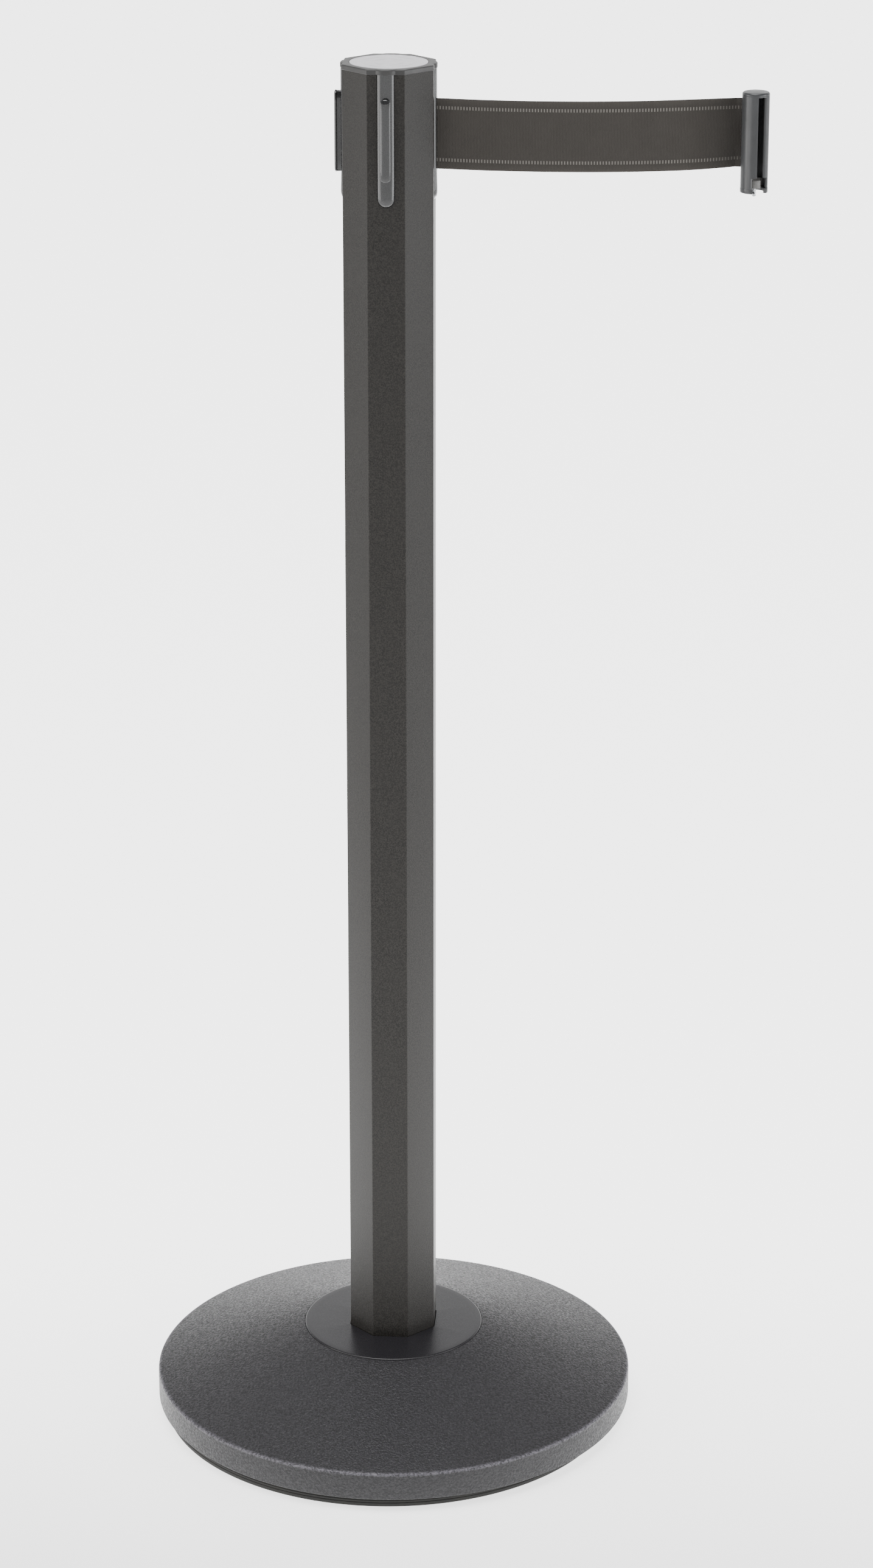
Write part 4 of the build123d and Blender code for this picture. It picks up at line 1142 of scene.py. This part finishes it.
def belt_path(thick):
    """Middle line of the webbing seen from above: off the wound roll in a straight run, a
    bend between the guide pins, the long run out, once round the swivel pin and back along
    itself for the sewn lap. Gives points, tangents and distances."""
    roll_gap = 0.35 * MM
    roll = ROLL_HIGH[0] + roll_gap + thick / 2
    bend_x = 27.4 * MM
    bend_r = 3.0 * MM
    lean = acos(roll / bend_x)
    turn = pi / 2 - lean
    cut = bend_r * tan(turn / 2)
    start = np.array([roll * cos(lean), roll * sin(lean)])
    before = np.array([bend_x - cut * cos(turn), cut * sin(turn)])
    lead = np.linspace(start, before, 12, endpoint=False)
    swing = np.linspace(turn, 0, 12)
    bend = np.stack([bend_x + cut - bend_r * np.sin(swing), bend_r * (1 - np.cos(swing))], -1)
    pin_x = middle("swivel_pin")[0]
    pin_gap = 0.08 * MM
    pin_r = half_width("swivel_pin") + pin_gap + thick / 2
    mouth = 0.62                         # half the angle left open where the lap closes
    lap_y = thick * 0.52                 # the two layers of the lap just miss each other
    ease = 3.5 * MM
    step = 0.26 * MM
    run_x = np.arange(bend_x + cut, BELT_END, step)
    run = np.stack([run_x, 0 * run_x], -1)
    split_x = np.linspace(BELT_END, pin_x - ease, 24)
    split = np.stack([split_x, lap_y * eased(split_x, BELT_END, BELT_END + 3 * MM)], -1)
    wrap = np.linspace(pi - mouth, mouth - pi, 44)
    hoop = np.stack([pin_x + pin_r * np.cos(wrap), pin_r * np.sin(wrap)], -1)
    back_x = np.linspace(pin_x - ease, BELT_END + 0.6 * MM, 24)
    back = np.stack([back_x, np.full(24, -lap_y)], -1)
    line = np.concatenate([lead, bend, run[1:], split, hoop, back])
    apart = np.linalg.norm(np.diff(line, axis=0), axis=1) > 1e-6
    line = line[np.concatenate([[True], apart])]
    tangent = np.gradient(line, axis=0)
    tangent /= np.linalg.norm(tangent, axis=1)[:, None]
    gone = np.concatenate([[0], np.cumsum(np.linalg.norm(np.diff(line, axis=0), axis=1))])
    return line, tangent, gone


def belt_section(thick, count=26):
    """Flat oval loop across the belt: a face, a rolled selvedge, the other face and the other
    selvedge. Gives the place across the belt and the place through its thickness."""
    flat = np.linspace(-1, 1, count)
    reach = BELT_WIDTH / 2 - thick / 2
    turn = np.linspace(-pi / 2, pi / 2, 7)[1:-1]
    across = np.concatenate([flat * reach, reach + thick / 2 * np.cos(turn)])
    through = np.concatenate([np.full(count, -thick / 2), thick / 2 * np.sin(turn)])
    return np.concatenate([across, -across]), np.concatenate([through, -through])


def cloth_marks(gone, across):
    """Distance along the belt and place across it, for every point of its surface."""
    marks = np.zeros((len(gone), len(across), 3))
    marks[..., 0] = gone[:, None]
    marks[..., 1] = across
    return marks


def belt_droop(x, s):
    """How far the belt's middle lies above its level at the post: a dip, then a rise."""
    share = np.clip((x - BELT_HOLD) / (BELT_END - BELT_HOLD), 0, 1.04)
    return -s.droop * share + s.rise * share * share


class STANCHION_OT_belt(bpy.types.Operator):
    """Makes the drawn-out webbing, the stitches of its lap and the webbing on the reel"""
    bl_idname = "stanchion.belt"
    bl_label = "Belt"

    def execute(self, context):
        s = context.scene.stanchion.belt
        c = context.scene.stanchion.colours
        path = belt_path(s.thick)
        line, _, gone = path
        far_end = float(gone[np.argmax(line[:, 0] >= BELT_END)])
        finish = webbing(s, c.webbing, c.dashes, far_end)
        belt = self.make_run(s, finish, path)
        stitches = self.make_stitches(s, c)
        self.make_roll(s, finish)
        return {"FINISHED"}

    def make_run(self, s, finish, path):
        """The oval section is carried along the path. Ribs are a fine sine along the path,
        the middle follows the droop and a slight wave, the edges cup back towards the clip
        and the width narrows a little there."""
        line, tangent, gone = path
        x = line[:, 0]
        across, through = belt_section(s.thick)
        normal = np.stack([-tangent[:, 1], tangent[:, 0]], -1)
        outside = (x > BELT_HOLD) & (x < BELT_END)
        rib = s.rib_height * np.sin(x * 2 * pi / s.rib_pitch) * (x < BELT_END)
        offset = through * (1 + 2 * rib[:, None] / s.thick)
        clip_reach, post_reach = 45 * MM, 40 * MM
        near_clip = np.clip((x - (BELT_END - clip_reach)) / clip_reach, 0, 1) ** 2
        near_post = np.clip((BELT_HOLD + post_reach - x) / post_reach, 0, 1) ** 2
        near_post *= x > BELT_HOLD
        narrow = 1 - 0.03 * near_clip
        held = np.clip((x - BELT_END) / (4 * MM), 0, 1)
        post_cupping, wave_height = 2.0 * MM, 0.5 * MM
        curl = s.cupping * near_clip + post_cupping * near_post * (1 - near_post)
        bow = (curl * (1 - held))[:, None] * (across / (BELT_WIDTH / 2)) ** 2
        wave = wave_height * np.sin((x - BELT_HOLD) / (BELT_END - BELT_HOLD) * 2 * pi) * outside
        points = np.empty((len(line), len(across), 3))
        points[..., 0] = line[:, :1] + normal[:, :1] * offset
        points[..., 1] = line[:, 1:] + normal[:, 1:] * offset + bow + wave[:, None]
        points[..., 2] = BELT_MIDDLE + belt_droop(x, s)[:, None] + across * narrow[:, None]
        belt = put_in("belt_webbing", shut_tube(points), finish, body=None,
                      stands_for=["belt_run", "belt_loop"], sharp=60,
                      marks=cloth_marks(gone, across))
        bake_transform(belt)
        return belt

    def make_stitches(self, s, c):
        """Two rows of short bowed threads across the lap, on both faces."""
        pitch, long, thread_r = 2.6 * MM, 2.0 * MM, 0.13 * MM
        turn = around(6)
        share = np.linspace(0, 1, 7)[:, None]
        bow = np.sin(share * pi)
        radius = thread_r * (0.35 + 0.65 * bow)
        lap_z = BELT_MIDDLE + belt_droop(BELT_END + 4.4 * MM, s)
        bits = []
        for x in (BELT_END + 3.4 * MM, BELT_END + 5.4 * MM):
            for face in (-1, 1):
                for z in lap_z - 20 * MM + pitch * np.arange(16):
                    out = face * (s.thick * 1.02 + 0.1 * MM * bow)
                    bits.append(shut_tube(np.stack(np.broadcast_arrays(
                        x + radius * np.cos(turn), out + radius * np.sin(turn),
                        z + long * share), -1)))
        return put_in("belt_stitches", joined(*bits), thread(c.webbing),
                      body="belt_end", sharp=60)

    def make_roll(self, s, finish):
        """Webbing wound on the spool: the flat oval section carried along a spiral whose
        radius grows by one thickness each turn."""
        spool_r = 9.1 * MM
        inner = spool_r + s.thick / 2
        outer = ROLL_HIGH[0] - s.thick / 2
        turns = int((outer - inner) / s.thick)
        angle = np.linspace(0, turns * 2 * pi, turns * 40)
        radius = inner + (outer - inner) / turns * angle / (2 * pi)
        across, through = belt_section(s.thick * 0.86, count=8)
        points = np.empty((len(angle), len(across), 3))
        points[..., 0] = (radius[:, None] + through) * np.cos(angle)[:, None]
        points[..., 1] = (radius[:, None] + through) * np.sin(angle)[:, None]
        points[..., 2] = (ROLL_LOW[2] + ROLL_HIGH[2]) / 2 + across
        gone = np.concatenate([[0], np.cumsum((radius[1:] + radius[:-1]) / 2 * np.diff(angle))])
        roll = put_in("wound_webbing", shut_tube(points), finish, body="reel",
                      stands_for=["belt_roll"], sharp=60, marks=cloth_marks(gone, across))


# =====================================================================
# Clip
# =====================================================================

def clip_points(points):
    """Points drawn about the clip's own axis with its slot towards +X, put in their place."""
    moved = np.array(points, float)
    x, y = moved[..., 0].copy(), moved[..., 1].copy()
    moved[..., 0] = CLIP_AXIS[0] + x * cos(SLOT_WAY) - y * sin(SLOT_WAY)
    moved[..., 1] = CLIP_AXIS[1] + x * sin(SLOT_WAY) + y * cos(SLOT_WAY)
    return moved


class STANCHION_OT_clip(bpy.types.Operator):
    """Makes the clip's shell, cap, foot, latch collar and pins"""
    bl_idname = "stanchion.clip"
    bl_label = "Clip"

    def execute(self, context):
        s = context.scene.stanchion.clip
        c = context.scene.stanchion.colours
        plastic = clip_moulding(c.clip)
        steel = drawn_metal("bright_steel", (0.62, 0.63, 0.65), 0.18, 0.2 * MM, (1, 1, 0.05))
        shell = joined(self.half_shell(s, 1), self.half_shell(s, -1))
        piece = put_in("clip_cylinder", shell, plastic, "clip",
                       ["clip_shell"], sharp=30)
        bevel(piece, 0.22 * MM)
        self.make_cap(s, plastic)
        self.make_foot(s, plastic)
        self.make_latch(s, c, steel)
        self.make_swivel_pin(steel)
        return {"FINISHED"}

    def half_shell(self, s, side):
        """Half of the slotted cylinder: the angle runs from the front opening's edge to the
        back opening's edge, and both edges move with height where the slot, the window and
        the belt's opening begin and end. Outer and inner skins are joined along open edges."""
        low, high = CLIP_LOW[2], CLIP_HIGH[2]
        soft = 0.35 * MM
        marks = [low, low + 0.5 * MM, s.window_top - soft, s.window_top, s.back_low - soft * 0.4,
                 s.back_low, s.slot_top - soft, s.slot_top, high]
        height = np.unique(np.concatenate(
            [np.linspace(a, b, 5) for a, b in zip(marks[:-1], marks[1:])]).round(7))
        front = ramped(height, [(0, 1, s.window_half), (s.window_top - soft, soft, s.slot_half),
                                (s.slot_top - soft, soft, 0.0)])
        back = ramped(height, [(0, 1, 0.0), (s.back_low - soft * 0.4, soft * 0.4, s.back_half),
                               (s.slot_top - soft, soft, 0.0)])
        front[height >= s.slot_top - 1e-7] = 0
        back[height >= s.slot_top - 1e-7] = 0
        columns = 49
        share = np.linspace(0, 1, columns)
        skins = []
        lip = s.lip * np.clip(front / s.slot_half, 0, 1)
        for radius, extra in ((CLIP_R, lip), (s.bore, 0 * lip)):
            start = np.arcsin(np.clip((front + extra) / radius, 0, 1))
            end = pi - np.arcsin(np.clip(back / radius, 0, 1))
            angle = side * (start[:, None] + (end - start)[:, None] * share)
            skins.append(np.stack(np.broadcast_arrays(
                radius * np.cos(angle), radius * np.sin(angle), height[:, None]),
                -1).reshape(-1, 3))
        rows = len(height)
        shift = rows * columns
        faces = grid_faces(rows, columns)
        faces += [[i + shift for i in f[::-1]] for f in grid_faces(rows, columns)]
        reach = CLIP_R - 0.85 * lip
        start = side * np.arcsin(np.clip(front / reach, 0, 1))
        skins.append(np.stack([reach * np.cos(start), reach * np.sin(start), height], -1))
        for row in range(rows - 1):
            a, b = row * columns, (row + 1) * columns
            c, d = 2 * shift + row, 2 * shift + row + 1
            if front[row] > 0 or front[row + 1] > 0:
                faces += [[a, b, d, c], [c, d, b + shift, a + shift]]
            a, b = a + columns - 1, b + columns - 1
            if back[row] > 0 or back[row + 1] > 0:
                faces.append([a, b, b + shift, a + shift])
        for row in (0, rows - 1):
            faces.append([row * columns, 2 * shift + row, row * columns + shift])
            for column in range(columns - 1):
                a = row * columns + column
                faces.append([a, a + shift, a + 1 + shift, a + 1])
        return clip_points(np.concatenate(skins)), faces

    def make_cap(self, s, plastic):
        """Lid with a rounded shoulder and a barely domed top, and a plug below it."""
        r, low, high = CLIP_R, CLIP_HIGH[2], span("clip_cap")[1][2]
        shoulder = 1.5 * MM
        plug = s.bore - 0.1 * MM
        profile = [(0, low - 1.2 * MM), (plug, low - 1.2 * MM), (plug, low), (r - 0.12 * MM, low),
                   (r, low + 0.12 * MM)]
        dome = 0.5 * MM
        profile += arc((r - shoulder, high - dome - shoulder), shoulder, shoulder, 0, pi / 2, 8)
        for share in np.linspace(0.85, 0, 8):
            profile.append(((r - shoulder) * share, high - dome * share ** 2))
        points, faces = turned(profile, 96, closed=False)
        put_in("clip_lid", (clip_points(points), faces), plastic, "clip",
               ["clip_cap"], sharp=45)

    def make_foot(self, s, plastic):
        """Thin ring under the shell, open at the front and a hair wider than the shell, with a
        ledge inside that carries the latch collar."""
        r, low, high = CLIP_R + 0.1 * MM, CLIP_FOOT_LOW[2], CLIP_FOOT_HIGH[2]
        inner = s.bore - 0.2 * MM
        corners = [(inner, low), (r, low), (r, high - 0.1 * MM), (inner, high - 0.1 * MM)]
        profile = rounded_outline(corners, [0.2 * MM, 0.4 * MM, 0.2 * MM, 0.1 * MM], steps=4)
        ring = turned_part(profile, radians(34), radians(326), 121)
        top = LATCH_LOW[2] - 0.1 * MM
        inner = s.collar_bore + 0.4 * MM
        corners = [(inner, high - 0.4 * MM), (s.bore - 0.1 * MM, high - 0.4 * MM),
                   (s.bore - 0.1 * MM, top), (inner, top)]
        profile = rounded_outline(corners, [0.2 * MM] * 4, steps=4)
        ledge = turned_part(profile, radians(34), radians(264), 91)
        points, faces = joined(ring, ledge)
        put_in("clip_foot_ring", (clip_points(points), faces), plastic, "clip",
               ["clip_foot"], sharp=40)

    def make_latch(self, s, c, steel):
        """C-shaped collar with rounded edges, and the thumb pin that hangs from it."""
        low, high = LATCH_LOW[2], LATCH_HIGH[2]
        outer, inner = s.bore - 0.15 * MM, s.collar_bore
        corners = [(inner, low), (outer, low), (outer, high), (inner, high)]
        profile = rounded_outline(corners, [0.3 * MM] * 4, steps=4)
        points, faces = turned_part(profile, s.gap_to, 2 * pi + s.gap_from, 121)
        put_in("latch_ring", (clip_points(points), faces), latch_moulding(c.latch),
               "latch", ["latch_collar"], sharp=40)
        centre = middle("thumb_pin")[:2]
        r = half_width("thumb_pin")
        tip = THUMB_LOW[2]
        neck = r * 0.86
        profile = arc((0, tip + 0.9 * MM), r, 0.9 * MM, -pi / 2, 0, 9)
        profile += [(r, tip + 3.2 * MM), (neck, tip + 3.5 * MM), (neck, tip + 3.8 * MM),
                    (r, tip + 4.1 * MM), (r, THUMB_HIGH[2]), (0, THUMB_HIGH[2])]
        put_in("thumb_stud", turned(profile, 40, centre, closed=False), steel,
               "latch", ["thumb_pin"], sharp=50)

    def make_swivel_pin(self, steel):
        """Plain pin with chamfered ends."""
        centre = middle("swivel_pin")[:2]
        r = half_width("swivel_pin")
        low, high = SWIVEL_LOW[2], SWIVEL_HIGH[2]
        cut = 0.3 * MM
        profile = [(0, low), (r - cut, low), (r, low + cut), (r, high - cut), (r - cut, high),
                   (0, high)]
        put_in("swivel_pin_turned", turned(profile, 40, centre, closed=False), steel,
               "clip", ["swivel_pin"], sharp=40)


# =====================================================================
# Inner pieces: frame nodes that keep their shape and get a finish
# =====================================================================

class STANCHION_OT_inner_finishes(bpy.types.Operator):
    """Gives the pieces inside the post and the base their finishes"""
    bl_idname = "stanchion.inner_finishes"
    bl_label = "Inner finishes"

    def execute(self, context):
        mill = drawn_metal("plain_steel", (0.42, 0.42, 0.43), 0.38, 0.6 * MM, (1, 1, 0.1), 0.4)
        zinc = drawn_metal("zinc_steel", (0.6, 0.61, 0.64), 0.3, 0.3 * MM, (1, 1, 1), 0.3)
        bright = drawn_metal("shaft_steel", (0.66, 0.66, 0.68), 0.16, 0.2 * MM, (0.1, 0.1, 1))
        spring = drawn_metal("spring_steel", (0.16, 0.18, 0.24), 0.3, 0.4 * MM, (1, 1, 0.1), 0.5)
        bronze = drawn_metal("bronze", (0.52, 0.33, 0.16), 0.45, 0.25 * MM, (1, 1, 1), 0.4)
        plastic = inner_moulding()
        wanted = {
            "foot_insert": mill, "spring_barrel": mill, "spring_cover": mill,
            "base_bolt": zinc, "base_washer": zinc, "lock_washer": zinc, "lid_screws": zinc,
            "cap_screws": zinc, "spool_shaft": bright, "guide_pins": bright,
            "power_spring": spring, "latch_spring": spring, "lower_bush": bronze,
            "upper_bush": bronze, "spool": plastic, "cassette_shell": plastic,
            "cassette_lid": plastic,
        }
        for node, finish in wanted.items():
            paint(node, finish)
        return {"FINISHED"}


# =====================================================================
# Stage
# =====================================================================

class STANCHION_OT_stage(bpy.types.Operator):
    """Makes the floor, the lights, the sky and the camera"""
    bl_idname = "stanchion.stage"
    bl_label = "Stage"

    def execute(self, context):
        self.make_floor()
        self.make_sky(context.scene)
        self.make_lights()
        self.make_camera(context.scene)
        return {"FINISHED"}

    def make_floor(self):
        """Flat round sheet of pale paper under the rubber ring."""
        reach = np.concatenate([[0], np.geomspace(0.2, 40, 24)])
        profile = np.stack([reach, 0 * reach], -1)
        floor = surface("paper_floor", turned(profile, 96, closed=False), floor_paper())

    def make_sky(self, scene):
        """Bright low down at both sides and behind, dim in front and dark overhead."""
        world = bpy.data.worlds.new("studio")
        world.use_nodes = True
        sky = Nodes(world.node_tree)
        way = sky.node("ShaderNodeTexCoord", "Generated")
        at_sides = sky.smooth(sky.math("ABSOLUTE", sky.along("X", way)), 0.3, 0.9, 0.0, 0.3)
        behind = sky.smooth(sky.along("Y", way), 0.25, 0.85, 0.0, 1.5)
        low_down = sky.smooth(sky.along("Z", way), 0.42, 0.78, 1.0, 0.0)
        dimmest = 0.06
        level = sky.math("MULTIPLY_ADD", sky.math("MAXIMUM", at_sides, behind), low_down, dimmest)
        background = sky.tree.nodes["Background"]
        background.inputs["Color"].default_value = (1.0, 1.0, 1.0, 1.0)
        sky.tree.links.new(level, background.inputs["Strength"])
        scene.world = world

    def make_lights(self):
        """A broad soft box on each side, a narrower panel at each front corner and a wide
        soft light from above."""
        for name, place, aim, size, power, tint in (
            ("left_box", (-2.6, -0.8, 1.3), (0, 0, 0.55), (1.2, 2.2), 36, (1.0, 0.98, 0.96)),
            ("right_box", (2.8, -0.5, 1.3), (0, 0, 0.55), (1.2, 2.2), 38, (0.98, 0.985, 1.0)),
            ("left_panel", (-1.75, -1.75, 0.95), (0, 0, 0.85), (0.9, 1.5), 9.6, (1.0, 0.99, 0.98)),
            ("right_panel", (1.9, -1.6, 0.95), (0, 0, 0.85), (0.9, 1.5), 14.5, (0.97, 0.985, 1.0)),
        ):
            lamp = bpy.data.lights.new(name, "AREA")
            lamp.shape = "RECTANGLE"
            lamp.size, lamp.size_y = size
            lamp.energy = power
            self.hang(lamp, tint, place, aim)
        lamp = bpy.data.lights.new("ceiling", "SUN")
        lamp.energy = 3.2
        lamp.angle = radians(45)
        self.hang(lamp, (1.0, 1.0, 1.0), (-0.3, -0.7, 3.2), (0, 0, 0))

    def hang(self, lamp, tint, place, aim):
        """Puts a lamp in its place and points it at its aim."""
        lamp.color = tint
        holder = bpy.data.objects.new(lamp.name, lamp)
        bpy.context.scene.collection.objects.link(holder)
        holder.location = place
        way = np.array(aim, float) - np.array(place, float)
        flat = hypot(way[0], way[1])
        holder.rotation_euler = Euler((atan2(flat, -way[2]), 0, atan2(-way[0], way[1])))

    def make_camera(self, scene):
        """Long lens a little to the right, looking slightly down."""
        lens = bpy.data.cameras.new("camera")
        lens.sensor_width = 36.0
        lens.lens = 97.48
        camera = bpy.data.objects.new("camera", lens)
        scene.collection.objects.link(camera)
        looking_down, looking_left = radians(19.71), radians(3.558)
        camera.location = (0.2112, -2.8742, 1.5268)
        camera.rotation_euler = Euler((pi / 2 - looking_down, 0, looking_left))
        scene.camera = camera


# =====================================================================
# Panel and registration
# =====================================================================

STEPS = ("stage", "base", "post", "receivers", "cap", "belt", "clip", "inner_finishes")


class STANCHION_PT_panel(bpy.types.Panel):
    """Lists the steps that make the stanchion"""
    bl_idname = "STANCHION_PT_panel"
    bl_label = "Belt stanchion"
    bl_space_type = "VIEW_3D"
    bl_region_type = "UI"
    bl_category = "Stanchion"

    def draw(self, context):
        for step in STEPS:
            self.layout.operator(f"stanchion.{step}")


CLASSES = (
    StanchionPostSizes, StanchionBaseSizes, StanchionHeadSizes, StanchionBeltSizes,
    StanchionClipSizes, StanchionColours, StanchionSettings, STANCHION_OT_stage,
    STANCHION_OT_base, STANCHION_OT_post, STANCHION_OT_receivers, STANCHION_OT_cap,
    STANCHION_OT_belt, STANCHION_OT_clip, STANCHION_OT_inner_finishes, STANCHION_PT_panel,
)


def register():
    for item in CLASSES:
        bpy.utils.register_class(item)
    bpy.types.Scene.stanchion = bpy.props.PointerProperty(
        type=StanchionSettings, name="Stanchion", description="Settings of the belt stanchion")


def unregister():
    del bpy.types.Scene.stanchion
    for item in reversed(CLASSES):
        bpy.utils.unregister_class(item)


def main():
    register()
    for step in STEPS:
        getattr(bpy.ops.stanchion, step)()


if __name__ == "__main__":
    main()
